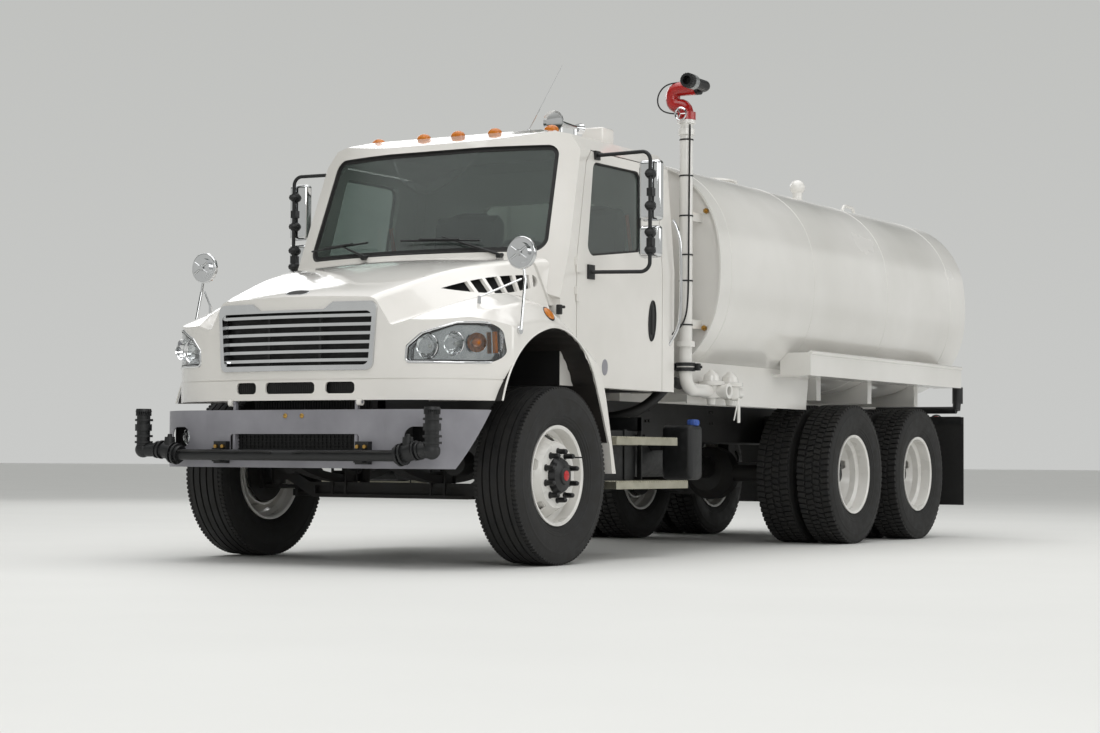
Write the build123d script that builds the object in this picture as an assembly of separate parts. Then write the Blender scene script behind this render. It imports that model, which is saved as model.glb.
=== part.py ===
from build123d import *
from math import atan2, cos, hypot, radians, sin, sqrt
import os

# Millimetres. The truck faces -Y, its left side is +X, and the ground is Z = 0.
# Stations (names in _Y) are measured from the front axle, positive to the rear.
# save() moves each piece so that the middle of the whole truck lies at Y = 0.
FRONT_REACH = 1170
SEAT = 0.3
OPEN_GAP = 8

# Axles, wheels and tyres
WHEELBASE = 5050
TANDEM_SPACING = 1308
TANDEM_Y = WHEELBASE
REAR_AXLES_Y = (TANDEM_Y - TANDEM_SPACING / 2, TANDEM_Y + TANDEM_SPACING / 2)
REAR_OVERHANG = 986
FRONT_TYRE_R = 530
FRONT_TYRE_WIDTH = 304
REAR_TYRE_R = 527
REAR_TYRE_WIDTH = 279
RIM_SEAT_R = 285.75
RIM_FLANGE_R = RIM_SEAT_R + 12.75
RIM_WELL_R = RIM_SEAT_R - 25.75
RIM_WALL = 8
FRONT_RIM_HALF = 118
REAR_RIM_HALF = 117.5
FRONT_RIM_X = 1068
DUAL_X = 919.5
DUAL_SPACING = 330
WHEEL_FACE_X = 1183
DISC = 11
HUB_BORE_R = 110
HAND_HOLES = 5
DRUM_R = 205
AXLE_END_R = 50
NOSE_RISE = 45
NOSE_REACH = 330
TAIL_REACH = 290

# Steering
KINGPIN_X = 886
KINGPIN_R = 20
BOSS_R = 44
BOSS_HEIGHT = 140
SPINDLE_R = 40
ARM_LENGTH = 190
TIE_ROD_R = 19

# Frame
RAIL_OUTER = 432
RAIL_TOP = 1030
RAIL_HEIGHT = 270
RAIL_FLANGE = 89
RAIL_WALL = 9
RAIL_FRONT_Y = -700
RAIL_REAR_Y = REAR_AXLES_Y[1] + REAR_OVERHANG
RAIL_BOTTOM = RAIL_TOP - RAIL_HEIGHT
REAR_BEAM_DEPTH = 50
REAR_BEAM_TOP = RAIL_TOP - 20
REAR_REACH = RAIL_REAR_Y + 100
SHIFT_Y = (FRONT_REACH - REAR_REACH) / 2
CROSSMEMBERS_Y = (-640, 1450, 2500, 3500, TANDEM_Y, TANDEM_Y + 850, RAIL_REAR_Y - 60)
CAB_MOUNTS_Y = (540, 1640)

# Cab
CAB_HALF = 1030
CAB_TOP_HALF = 975
CAB_BOTTOM = 1075
BELT_Z = 1873
ROOF_Z = 2725
ROOF_FRONT_Y = 520
CAB_FRONT_Y = 275
CAB_BACK_Y = 1765
CAB_WALL = 60
SCREEN_SLOPE = 0.386
SCREEN_BASE_Y = 137
SCREEN_R = 2400
DOOR_FRONT_Y = 470
DOOR_REAR_Y = 1600
DOOR_OUTLINE = [
    (DOOR_FRONT_Y, BELT_Z), (DOOR_FRONT_Y, 1330), (560, 1180), (650, CAB_BOTTOM - 20),
    (DOOR_REAR_Y, CAB_BOTTOM - 20), (DOOR_REAR_Y, 2490), (1540, 2570), (740, 2570), (665, 2490),
]
WINDOW_OUTLINE = [(600, 1885), (1320, 1972), (1385, 2500), (760, 2496)]
DOOR_INNER_X = 950
DOOR_PIN_X = 1038
DOOR_PIN_Y = 466
DOOR_PIN_R = 8
DOOR_HINGES_Z = (1640, 1820)

# Steering wheel
WHEEL_X = 480
WHEEL_TILT = 35
WHEEL_CENTRE = (WHEEL_X, 860, 1885)
WHEEL_AXIS = (0, sin(radians(WHEEL_TILT)), cos(radians(WHEEL_TILT)))
WHEEL_HUB_HALF = 17
COLUMN_END = tuple(c - (WHEEL_HUB_HALF + SEAT) * a for c, a in zip(WHEEL_CENTRE, WHEEL_AXIS))

# Hood
HOOD_WALL = 12
HOOD_BOTTOM = 957
HOOD_FRONT_Y = -1035
HOOD_REAR_Y = 262
FENDER_HALF = 1200
HINGE_Y = -1000
HINGE_Z = 945
HOOD_PIN_R = 8
HOOD_SEAM_Z = 1074
TAIL_X = 1052
TAIL_REAR_Y = 380
TAIL_FOOT = (676, 540)
HOOD_STATIONS = (
    # y, crown z, then (x, z) of shoulder, valley, crest and brow, and the z of the side's top
    (-1120, 1500, (535, 1468), (640, 1335), (745, 1350), (985, 1300), 1215),
    (-960, 1592, (556, 1556), (655, 1385), (762, 1408), (1005, 1350), 1265),
    (-760, 1660, (594, 1624), (728, 1448), (838, 1488), (1050, 1432), 1335),
    (-500, 1742, (645, 1706), (830, 1535), (945, 1566), (1105, 1502), 1388),
    (-220, 1812, (705, 1776), (912, 1572), (1015, 1594), (1130, 1540), 1430),
    (80, 1866, (810, 1826), (985, 1485), (1072, 1490), (1150, 1462), 1390),
    (340, 1900, (950, 1852), (1040, 1330), (1100, 1330), (1160, 1312), 1262),
    (700, 1915, (965, 1858), (1046, 960), (1102, 960), (1162, 945), 900),
)
HOOD_FILLETS = (70, 26, 45, 60, 60)
HEADLAMP_OUTLINE = [(742, 1170), (1188, 1170), (1166, 1404), (1000, 1398), (830, 1335), (750, 1262)]
GRILLE_BARS = 6
GRILLE_OUTLINE = [
    (-548, 1128), (548, 1128), (574, 1522), (290, 1522),
    (228, 1480), (-228, 1480), (-290, 1522), (-574, 1522),
]
VALANCE_SLOTS = ((-421, -267), (-193, 163), (237, 430))

# Bumper
BUMPER_FRONT_Y = -1010
BUMPER_BOTTOM = 567
BUMPER_TOP = 903
BUMPER_WALL = 6

# Tank
TANK_FRONT_Y = 2076
TANK_REAR_Y = RAIL_REAR_Y + REAR_BEAM_DEPTH
TANK_HALF = 1220
TANK_HALF_HEIGHT = 804
TANK_Z = 1920
TANK_SIDE_R = 1372
TANK_TOP_R = 3714
TANK_CORNER_R = 638
HEAD_INSET = 35
HEAD_RIM = 14
TANK_TOP = TANK_Z + TANK_HALF_HEIGHT
SADDLES_Y = [TANK_FRONT_Y + 224 + n * (TANK_REAR_Y - TANK_FRONT_Y - 664) / 4 for n in range(5)]
MANHOLE_Y = 4200
TRAY_X = TANK_HALF + 42
SKIRT_X = 947

# Riser and monitor
RISER_X = 1052
RISER_Y = 1889
RISER_R = 44.5
RISER_TOP = 2905
MONITOR_R = 62
MONITOR_RISE = 215
VALVES_Y = (2275, 2560)
VALVE_Z = 1098

SIDES = (("left", 1), ("right", -1))


def save(shape, name):
    export_step(Pos(0, SHIFT_Y, 0) * shape, f"parts/{name}.step")


def sided(shape, side):
    return shape if side > 0 else mirror(shape, Plane.YZ)


def both(shape):
    return Compound(children=[shape, mirror(shape, Plane.YZ)])


def group(shapes):
    return Compound(children=[solid for shape in shapes for solid in shape.solids()])


def block(x, y, z):
    """A box from three (low, high) pairs."""
    size = [high - low for low, high in (x, y, z)]
    centre = [(low + high) / 2 for low, high in (x, y, z)]
    return Pos(*centre) * Box(*size)


def soft_block(x, y, z, corner):
    """A box with every edge rounded."""
    body = block(x, y, z)
    return fillet(body.edges(), corner)


def side_prism(outline, x0, x1, corner=0):
    """A closed (y, z) outline pulled from x0 to x1."""
    face = make_face(Polyline(*outline, close=True))
    if corner:
        face = fillet(face.vertices(), corner)
    return extrude(Plane.YZ.offset(x0) * face, x1 - x0)


def front_prism(outline, y0, y1, corner=0):
    """A closed (x, z) outline pulled from y0 to y1."""
    face = make_face(Polyline(*outline, close=True))
    if corner:
        face = fillet(face.vertices(), corner)
    return extrude(Plane.XZ.offset(-y1) * face, y1 - y0)


def rod(start, end, radius):
    """A round bar between two points."""
    line = Vector(*end) - Vector(*start)
    plane = Plane(origin=start, z_dir=line)
    return extrude(plane * Circle(radius), line.length)


def tube(points, bend, radius):
    """A round pipe along straight runs joined by bends."""
    path = FilletPolyline(*points, radius=bend)
    return sweep(Plane(origin=path @ 0, z_dir=path % 0) * Circle(radius), path=path)


def turned(profile):
    """A closed (x, r) outline turned about the X axis."""
    return revolve(make_face(profile), Axis.X)


def ring(x0, x1, inner, outer):
    return turned(Polyline((x0, inner), (x1, inner), (x1, outer), (x0, outer), close=True))


def rim(half):
    """The well-based rim about its own middle."""
    seat = RIM_SEAT_R
    flange = RIM_FLANGE_R
    well = RIM_WELL_R
    profile = Polyline(
        (-half, flange), (10 - half, flange), (10 - half, seat), (-62, seat), (-46, well),
        (16, well), (32, seat), (half - 10, seat), (half - 10, flange), (half, flange),
        (half, seat + 2), (half - 6, seat - RIM_WALL), (34, seat - RIM_WALL),
        (18, well - RIM_WALL), (-48, well - RIM_WALL), (-64, seat - RIM_WALL),
        (6 - half, seat - RIM_WALL), (-half, seat + 2), close=True,
    )
    return turned(profile)


def disc(face_x, root_x, thick):
    """The pressed wheel disc, flat at the hub and coned out to the rim's well."""
    face_r = 192
    knee_r = RIM_WELL_R - 32
    well = RIM_WELL_R - 6
    knee_x = root_x + (face_x - root_x) * 0.45
    profile = Polyline(
        (face_x, HUB_BORE_R - 2), (face_x, face_r), (knee_x, knee_r), (root_x, well),
        (root_x + thick, well), (knee_x + thick, knee_r), (face_x + thick, face_r),
        (face_x + thick, HUB_BORE_R - 2), close=True,
    )
    return turned(profile)


def hand_holes(x):
    """Slots through the cone of a disc, evenly spaced round it."""
    hole = extrude(Rot(0, 0, 90) * SlotOverall(74, 40), 60, both=True)
    slot = Pos(x, 0, RIM_WELL_R - 38) * Rot(0, 90, 0) * hole
    return [Rot(360 / HAND_HOLES * n, 0, 0) * slot for n in range(HAND_HOLES)]


def tyre(radius, width, bead):
    """One tyre about its own middle, with its beads on the rim's seats."""
    half = width / 2
    bead_r = RIM_SEAT_R + SEAT
    flange_r = RIM_FLANGE_R + 2
    tread = half - 22
    shoulder_r = radius - 26
    right = ThreePointArc((bead, flange_r), (half, bead_r + 112), (half - 8, shoulder_r))
    top_right = ThreePointArc(right @ 1, (half - 13, radius - 10), (tread, radius - 5))
    top = ThreePointArc(top_right @ 1, (0, radius), (-tread, radius - 5))
    top_left = ThreePointArc(top @ 1, (13 - half, radius - 10), (8 - half, shoulder_r))
    left = ThreePointArc(top_left @ 1, (-half, bead_r + 112), (-bead, flange_r))
    bottom = Polyline(left @ 1, (-bead, bead_r), (bead, bead_r), right @ 0)
    return turned([right, top_right, top, top_left, left, bottom])


def front_wheel():
    """Rim, disc, hub and drum, bolted up as one, with the axle line as X."""
    x = WHEEL_FACE_X
    back = x - DISC
    hub = turned(Polyline(
        (1000, SPINDLE_R + SEAT), (x + 12, SPINDLE_R + SEAT), (x + 12, 0), (x + 58, 0),
        (x + 58, 48), (x + 46, 52), (x + 34, 92), (x + 6, HUB_BORE_R - 4), (x, HUB_BORE_R),
        (back, HUB_BORE_R), (back, 165), (back - 14, 165), (back - 14, 105), (1000, 80),
        close=True,
    ))
    drum = ring(back - 34, back - 14, 100, DRUM_R) + ring(1005, back - 34, DRUM_R - 12, DRUM_R)
    shell = Pos(FRONT_RIM_X, 0, 0) * rim(FRONT_RIM_HALF) + disc(x, FRONT_RIM_X + 8, -DISC)
    for slot in hand_holes(FRONT_RIM_X + 50):
        shell -= slot
    return shell + hub + drum


def rear_wheels():
    """Two rims back to back on one hub and drum, with the axle line as X."""
    outer = Pos(DUAL_SPACING / 2, 0, 0) * rim(REAR_RIM_HALF) + disc(0, DUAL_SPACING / 2 - 36, DISC)
    for slot in hand_holes(90):
        outer -= slot
    pair = Pos(DUAL_X, 0, 0) * (outer + mirror(outer, Plane.YZ))
    hub = turned(Polyline(
        (690, AXLE_END_R + SEAT), (1012, AXLE_END_R + SEAT), (1012, 0), (1072, 0), (1070, 40),
        (1060, 58), (1040, 62), (1038, 98), (1022, 98), (1016, HUB_BORE_R - 6),
        (940, HUB_BORE_R), (DUAL_X - DISC, HUB_BORE_R), (DUAL_X - DISC, 165),
        (DUAL_X - DISC - 14, 165), (DUAL_X - DISC - 14, 100), (690, 84), close=True,
    ))
    drum = ring(870, DUAL_X - DISC - 14, 90, DRUM_R) + ring(690, 870, DRUM_R - 12, DRUM_R)
    return pair + hub + drum


def save_wheels():
    bead = FRONT_RIM_HALF - 10.5
    steer = Pos(0, 0, FRONT_TYRE_R)
    rubber = Pos(FRONT_RIM_X, 0, 0) * tyre(FRONT_TYRE_R, FRONT_TYRE_WIDTH, bead)
    wheel = front_wheel()
    for name, side in SIDES:
        save(sided(steer * rubber, side), f"front_tyre_{name}")
        save(sided(steer * wheel, side), f"front_wheel_{name}")
    bead = REAR_RIM_HALF - 10.5
    one = tyre(REAR_TYRE_R, REAR_TYRE_WIDTH, bead)
    half = DUAL_SPACING / 2
    pair = group([Pos(DUAL_X + half, 0, 0) * one, Pos(DUAL_X - half, 0, 0) * one])
    wheels = rear_wheels()
    for number, y in enumerate(REAR_AXLES_Y, 1):
        place = Pos(0, y, REAR_TYRE_R)
        for name, side in SIDES:
            save(sided(place * pair, side), f"rear_tyres_{number}_{name}")
            save(sided(place * wheels, side), f"rear_wheels_{number}_{name}")


def knuckle():
    """Kingpin, yoke, spindle and steering arm of one side."""
    z = FRONT_TYRE_R
    reach = BOSS_HEIGHT / 2 + 2
    pin = rod((KINGPIN_X, 0, z - reach - 30), (KINGPIN_X, 0, z + reach + 30), KINGPIN_R)
    ears = block((KINGPIN_X - 40, 978), (-45, 45), (z + reach, z + reach + 28))
    ears += block((KINGPIN_X - 40, 978), (-45, 45), (z - reach - 28, z - reach))
    web = block((955, 985), (-70, 70), (z - reach - 28, z + reach + 28))
    plate = Pos(0, 0, z) * ring(985, 995, 30, DRUM_R - 22)
    spindle = rod((984, 0, z), (WHEEL_FACE_X - 2, 0, z), SPINDLE_R)
    arm_z = z - reach - 16
    arm = block((KINGPIN_X - 22, KINGPIN_X + 22), (40, ARM_LENGTH), (arm_z - 12, arm_z + 12))
    arm += Pos(KINGPIN_X, ARM_LENGTH, arm_z) * Cylinder(24, 24)
    eye = Pos(KINGPIN_X, ARM_LENGTH, arm_z) * Cylinder(12 + SEAT, 60)
    return pin + ears + web + plate + spindle + arm - eye


def tie_rod():
    """The rod between the two steering arms, hung under them on its ball studs."""
    arm_z = FRONT_TYRE_R - BOSS_HEIGHT / 2 - 18
    z = arm_z - 12 - 5 - 22
    bar = rod((KINGPIN_X - 22, ARM_LENGTH, z), (22 - KINGPIN_X, ARM_LENGTH, z), TIE_ROD_R)
    for x in (KINGPIN_X, -KINGPIN_X):
        bar += Pos(x, ARM_LENGTH, z) * Cylinder(24, 44)
        bar += rod((x, ARM_LENGTH, z), (x, ARM_LENGTH, arm_z + 12), 12)
    return bar


def front_axle():
    """A dropped I-beam with a bored boss at each end."""
    z = FRONT_TYRE_R
    drop = 95
    half = KINGPIN_X
    beam = front_prism([
        (-half, z + 45), (-half + 90, z + 45), (-600, z - drop + 40), (600, z - drop + 40),
        (half - 90, z + 45), (half, z + 45), (half, z - 45), (half - 110, z - 45),
        (580, z - drop - 55), (-580, z - drop - 55), (-half + 110, z - 45), (-half, z - 45),
    ], -48, 48)
    flute = front_prism([
        (-560, z - drop + 18), (560, z - drop + 18), (560, z - drop - 33), (-560, z - drop - 33),
    ], 10, 60)
    beam -= flute + mirror(flute, Plane.XZ)
    for x in (half, -half):
        beam += Pos(x, 0, z) * Cylinder(BOSS_R, BOSS_HEIGHT)
        beam -= Pos(x, 0, z) * Cylinder(KINGPIN_R + SEAT, BOSS_HEIGHT + 10)
    return beam


def leaf(length, low_z, end_z, thick, width):
    """One curved spring leaf about Y = 0 at X = 0."""
    low = ThreePointArc((-length / 2, end_z), (0, low_z), (length / 2, end_z))
    high = ThreePointArc((length / 2, end_z + thick), (0, low_z + thick), (-length / 2, end_z + thick))
    sides = [Line(low @ 1, high @ 0), Line(high @ 1, low @ 0)]
    face = make_face([low, high, *sides])
    return extrude(Plane.YZ.offset(-width / 2) * face, width)


def front_springs():
    """Leaf packs clamped to the axle and hung from the rails."""
    seat_z = FRONT_TYRE_R - 95 + 40
    count = 3
    thick = 16
    eye_z = RAIL_BOTTOM - 70
    pack = leaf(1480, seat_z, eye_z - 24, thick, 90)
    for n in range(1, count):
        pack += leaf(1480, seat_z + thick * n, eye_z - 24 + thick * n, thick, 90)
    pack += block((-52, 52), (-60, 60), (seat_z + thick * count - 2, seat_z + thick * count + 24))
    for y in (-740, 740):
        pack += rod((-45, y, eye_z), (45, y, eye_z), 30)
        pack += block((-60, -48), (y - 40, y + 40), (eye_z - 40, RAIL_BOTTOM))
        pack += block((48, 60), (y - 40, y + 40), (eye_z - 40, RAIL_BOTTOM))
        pack += rod((-61, y, eye_z), (61, y, eye_z), 12)
    return both(Pos(RAIL_OUTER - 62, 0, 0) * pack)


def rear_axles():
    """Two drive axles: tubes, a round banjo in the middle and its nose."""
    z = REAR_TYRE_R
    banjo = revolve(make_face(Polyline(
        (0, -130), (140, -130), (205, -60), (205, 60), (140, 130), (0, 130), close=True)), Axis.Y)
    axles = []
    for y in REAR_AXLES_Y:
        housing = rod((-684, y, z), (684, y, z), 66)
        housing += rod((-1000, y, z), (1000, y, z), AXLE_END_R)
        housing += Pos(0, y, z) * banjo
        housing += rod((0, y, z + NOSE_RISE), (0, y - NOSE_REACH, z + NOSE_RISE), 85)
        housing += rod((0, y, z + NOSE_RISE), (0, y + TAIL_REACH, z + NOSE_RISE), 62)
        for x0, x1 in ((640, 652), (-652, -640)):
            housing += Pos(0, y, z) * ring(x0, x1, 40, DRUM_R - 22)
        axles.append(housing)
    return group(axles)


def rear_suspension():
    """A walking beam each side under both axles, its saddle and leaf pack."""
    z = REAR_TYRE_R
    x0 = 440
    x1 = 530
    first, last = REAR_AXLES_Y
    beam_top = z - 66 - SEAT
    beam = side_prism([
        (first - 90, beam_top), (first + 90, beam_top), (TANDEM_Y - 200, beam_top - 30),
        (TANDEM_Y - 120, beam_top + 130), (TANDEM_Y + 120, beam_top + 130),
        (TANDEM_Y + 200, beam_top - 30), (last - 90, beam_top), (last + 90, beam_top),
        (last + 90, beam_top - 60), (TANDEM_Y + 250, beam_top - 110),
        (TANDEM_Y - 250, beam_top - 110), (first - 90, beam_top - 60),
    ], x0, x1)
    spring_z = beam_top + 130
    for n in range(4):
        length = 1250 - 160 * n
        rise = 46 - 14 * n
        low = spring_z + 18 * n
        beam += Pos((x0 + x1) / 2, TANDEM_Y, 0) * leaf(length, low, low + rise, 18.2, 84)
    for y in (TANDEM_Y - 560, TANDEM_Y + 560):
        beam += block((RAIL_OUTER, x1), (y - 60, y + 60), (spring_z + 36, RAIL_TOP - 60))
    return both(beam)


def frame_rails():
    rail = block((RAIL_OUTER - RAIL_FLANGE, RAIL_OUTER), (RAIL_FRONT_Y, RAIL_REAR_Y), (RAIL_BOTTOM, RAIL_TOP))
    rail -= block((0, RAIL_OUTER - RAIL_WALL), (RAIL_FRONT_Y - 1, RAIL_REAR_Y + 1),
                  (RAIL_BOTTOM + RAIL_WALL, RAIL_TOP - RAIL_WALL))
    return both(rail)


def crossmembers():
    """Channels between the webs, open to the rear."""
    half = RAIL_OUTER - RAIL_WALL
    low = RAIL_BOTTOM + 112
    high = RAIL_TOP - RAIL_WALL - 12
    pieces = []
    for y in CROSSMEMBERS_Y:
        piece = block((-half, half), (y - 35, y + 35), (low, high))
        piece -= block((-half + 8, half - 8), (y - 28, y + 36), (low + 8, high - 8))
        pieces.append(piece)
    for y in CAB_MOUNTS_Y:
        mount = block((RAIL_OUTER - RAIL_FLANGE, RAIL_OUTER), (y - 35, y + 35), (RAIL_TOP, CAB_BOTTOM))
        pieces += [mount, mirror(mount, Plane.YZ)]
    return group(pieces)


def engine():
    """The engine as one plain block on its mounts, with the clutch housing behind."""
    mount_x = RAIL_OUTER - RAIL_WALL
    body = block((-330, 330), (-560, 250), (650, 1420))
    body += block((-230, 230), (240, 505 - SEAT), (640, 1040))
    return body + block((-mount_x, mount_x), (-80, 60), (880, 950))


def radiator():
    """The core between its two tanks, with the fan shroud behind."""
    pack = block((-425, 425), (-830, -770), (800, 1480))
    pack += block((-425, 425), (-845, -760), (1450, 1510))
    pack += block((-425, 425), (-845, -760), (790, 830))
    pack += Pos(0, -735, 1120) * Rot(90, 0, 0) * Cylinder(330, 80)
    pack += block((SEAT - RAIL_OUTER, RAIL_OUTER - SEAT), (-830, -780), (800, 850))
    pack += block((-60, 60), (-700, -560 - SEAT), (1080, 1160))
    return pack


def shaft(start, end, radius):
    """A propeller shaft with a level yoke flange at each end, along the truck's middle."""
    y0, z0 = start
    y1, z1 = end
    piece = rod((0, y0, z0), (0, y0 + 70, z0), radius + 14)
    piece += rod((0, y1 - 70, z1), (0, y1, z1), radius + 14)
    return piece + rod((0, y0 + 60, z0), (0, y1 - 60, z1), radius)


def driveline():
    """Gearbox, and the shafts to both drive axles."""
    box_z = 830
    box_end = 1200
    gearbox = Pos(0, 610, box_z) * Rot(90, 0, 0) * Cylinder(230, 210)
    gearbox += Pos(0, 900, box_z) * Rot(90, 0, 0) * Cylinder(165, 480)
    gearbox += rod((0, 1100, box_z), (0, box_end, box_z), 60)
    first, last = REAR_AXLES_Y
    nose_z = REAR_TYRE_R + NOSE_RISE
    long = shaft((box_end + SEAT, box_z), (first - NOSE_REACH - SEAT, nose_z), 48)
    link = shaft((first + TAIL_REACH + SEAT, nose_z), (last - NOSE_REACH - SEAT, nose_z), 40)
    return group([gearbox, long, link])


def bumper_plan(inset):
    """Half of the bumper's plan: a straight middle and an end wrapped round the corner."""
    side = (1185 - inset, -620)
    end = ThreePointArc((640, BUMPER_FRONT_Y + inset), (1010 - inset * 0.6, inset * 0.8 - 905), side)
    rest = Polyline(side, (1185 - inset, -500), (0, -500), (0, BUMPER_FRONT_Y + inset),
                    (640, BUMPER_FRONT_Y + inset))
    return make_face([end, rest])


def main_bumper():
    """Middle and two wrapped ends, cut from one bent channel."""
    skin = bumper_plan(0) - bumper_plan(BUMPER_WALL)
    flange = bumper_plan(0) - bumper_plan(70)
    half = extrude(Plane.XY.offset(BUMPER_BOTTOM) * skin, BUMPER_TOP - BUMPER_BOTTOM)
    half += extrude(Plane.XY.offset(BUMPER_TOP - BUMPER_WALL) * flange, BUMPER_WALL)
    half += extrude(Plane.XY.offset(BUMPER_BOTTOM) * flange, BUMPER_WALL)
    half -= side_prism([(-880, BUMPER_BOTTOM - 1), (-700, BUMPER_TOP + 1), (-400, BUMPER_TOP + 1),
                        (-400, BUMPER_BOTTOM - 1)], 900, 1300)
    half -= block((-1, 900), (-640, -400), (500, 1000))
    half -= front_prism([(-490, 630), (466, 630), (466, 763), (-490, 763)], -1100, -900, 20)
    half -= Pos(870, -950, 745) * Rot(90, 0, 0) * extrude(SlotOverall(190, 120), 90, both=True)
    middle = half & block((0, 640), (-1100, -500), (500, 1000))
    end = half & block((640 + SEAT, 1300), (-1100, -500), (500, 1000))
    end += block((RAIL_OUTER + 18 + SEAT, 760), (-1003, -975), (850, 880))
    horn = block((RAIL_OUTER, RAIL_OUTER + 18), (-1006, RAIL_FRONT_Y + 140), (620, BUMPER_TOP - BUMPER_WALL))
    middle += mirror(middle, Plane.YZ)
    horn += block((RAIL_OUTER, RAIL_OUTER + 18), (HINGE_Y - 4, HINGE_Y + 20), (BUMPER_TOP - 20, HINGE_Z + 10))
    horn += rod((RAIL_OUTER + 4, HINGE_Y, HINGE_Z), (RAIL_OUTER + 50, HINGE_Y, HINGE_Z), HOOD_PIN_R)
    middle += horn + mirror(horn, Plane.YZ)
    return group([middle, end, mirror(end, Plane.YZ)])


def front_spray_bar():
    """A black water pipe with a valve and an upturned head at each end."""
    z = 640
    y = -1085
    head_x = 1040
    head_y = 50 - FRONT_REACH
    bar = rod((-820, y, z), (820, y, z), 32)
    for x in (-513, 513):
        bar += block((x - 45, x + 45), (BUMPER_FRONT_Y - 40, BUMPER_FRONT_Y - SEAT), (590, 720))
        bar += block((x - 30, x + 30), (y, BUMPER_FRONT_Y - 20), (z - 40, z + 40))
    for side in (1, -1):
        arm = rod((780, y, z), (900, y, z + 30), 52)
        arm += rod((880, y, z + 28), (head_x, head_y, z + 28), 42)
        arm += Pos(head_x, head_y, z + 28) * Sphere(48)
        arm += rod((head_x, head_y, z + 28), (head_x, head_y, 868), 40)
        arm += Pos(head_x, head_y, 800) * Cylinder(50, 40)
        arm += Pos(head_x, head_y, 868) * Sphere(40)
        bar += sided(arm, side)
    return bar


def cab_plan(inset):
    """Plan of the cab at the screen's base: a bowed front, straight sides and back."""
    half = CAB_HALF - inset
    front = SCREEN_BASE_Y + inset
    radius = SCREEN_R - inset
    edge_y = front + radius - sqrt(radius ** 2 - half ** 2)
    arc = ThreePointArc((-half, edge_y), (0, front), (half, edge_y))
    back = Polyline((half, edge_y), (half, 2600), (-half, 2600), (-half, edge_y))
    return make_face([arc, back])


def cab_volume(inset):
    """The cab's outside, or the same moved in by a wall."""
    below = BELT_Z - 900
    lean = Vector(0, SCREEN_SLOPE, 1)
    plan = Plane.XY.offset(below) * Pos(0, -900 * SCREEN_SLOPE, 0) * cab_plan(inset)
    sheared = extrude(plan, (ROOF_Z + 200 - below) * lean.length, dir=lean)
    half = CAB_HALF - inset
    top_half = CAB_TOP_HALF - inset
    bottom = CAB_BOTTOM + inset
    top = ROOF_Z - inset
    front = front_prism([
        (-half, bottom), (half, bottom), (half, BELT_Z), (top_half, 2560),
        (top_half - 75, top - 65), (650, top - 14), (300, top), (-300, top), (-650, top - 14),
        (75 - top_half, top - 65), (-top_half, 2560), (-half, BELT_Z),
    ], -500, 3000)
    side = side_prism([
        (CAB_FRONT_Y + inset, bottom), (CAB_FRONT_Y + inset, 1600), (SCREEN_BASE_Y - 30 + inset, 1760),
        (SCREEN_BASE_Y - 40 + inset, BELT_Z), (ROOF_FRONT_Y - 60 + inset, top - 90),
        (ROOF_FRONT_Y + 150, top - 12), (ROOF_FRONT_Y + 500, top), (CAB_BACK_Y - inset - 60, top),
        (CAB_BACK_Y - inset, top - 60), (CAB_BACK_Y - inset, bottom),
    ], -1200, 1200)
    return sheared & front & side


def cowl():
    """The crescent between the hood's rear edge and the screen, in the hood's own form."""
    half = CAB_HALF
    side_y = HOOD_REAR_Y + OPEN_GAP
    edge = ThreePointArc((-half, side_y), (0, HOOD_REAR_Y - 192), (half, side_y))
    back = Polyline((half, side_y), (half - 2, 400), (2 - half, 400), (-half, side_y))
    plan = extrude(Plane.XY.offset(1560) * make_face([edge, back]), 440)
    return (hood_loft(0) & plan) - cab_volume(CAB_WALL)


def outline_offset(points, gap):
    face = make_face(Polyline(*points, close=True))
    return offset(face, gap)


def side_cut(points, gap, x0, x1, corner=0):
    face = outline_offset(points, gap) if gap else make_face(Polyline(*points, close=True))
    if corner:
        face = fillet(face.vertices(), corner)
    return extrude(Plane.YZ.offset(x0) * face, x1 - x0)


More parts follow.
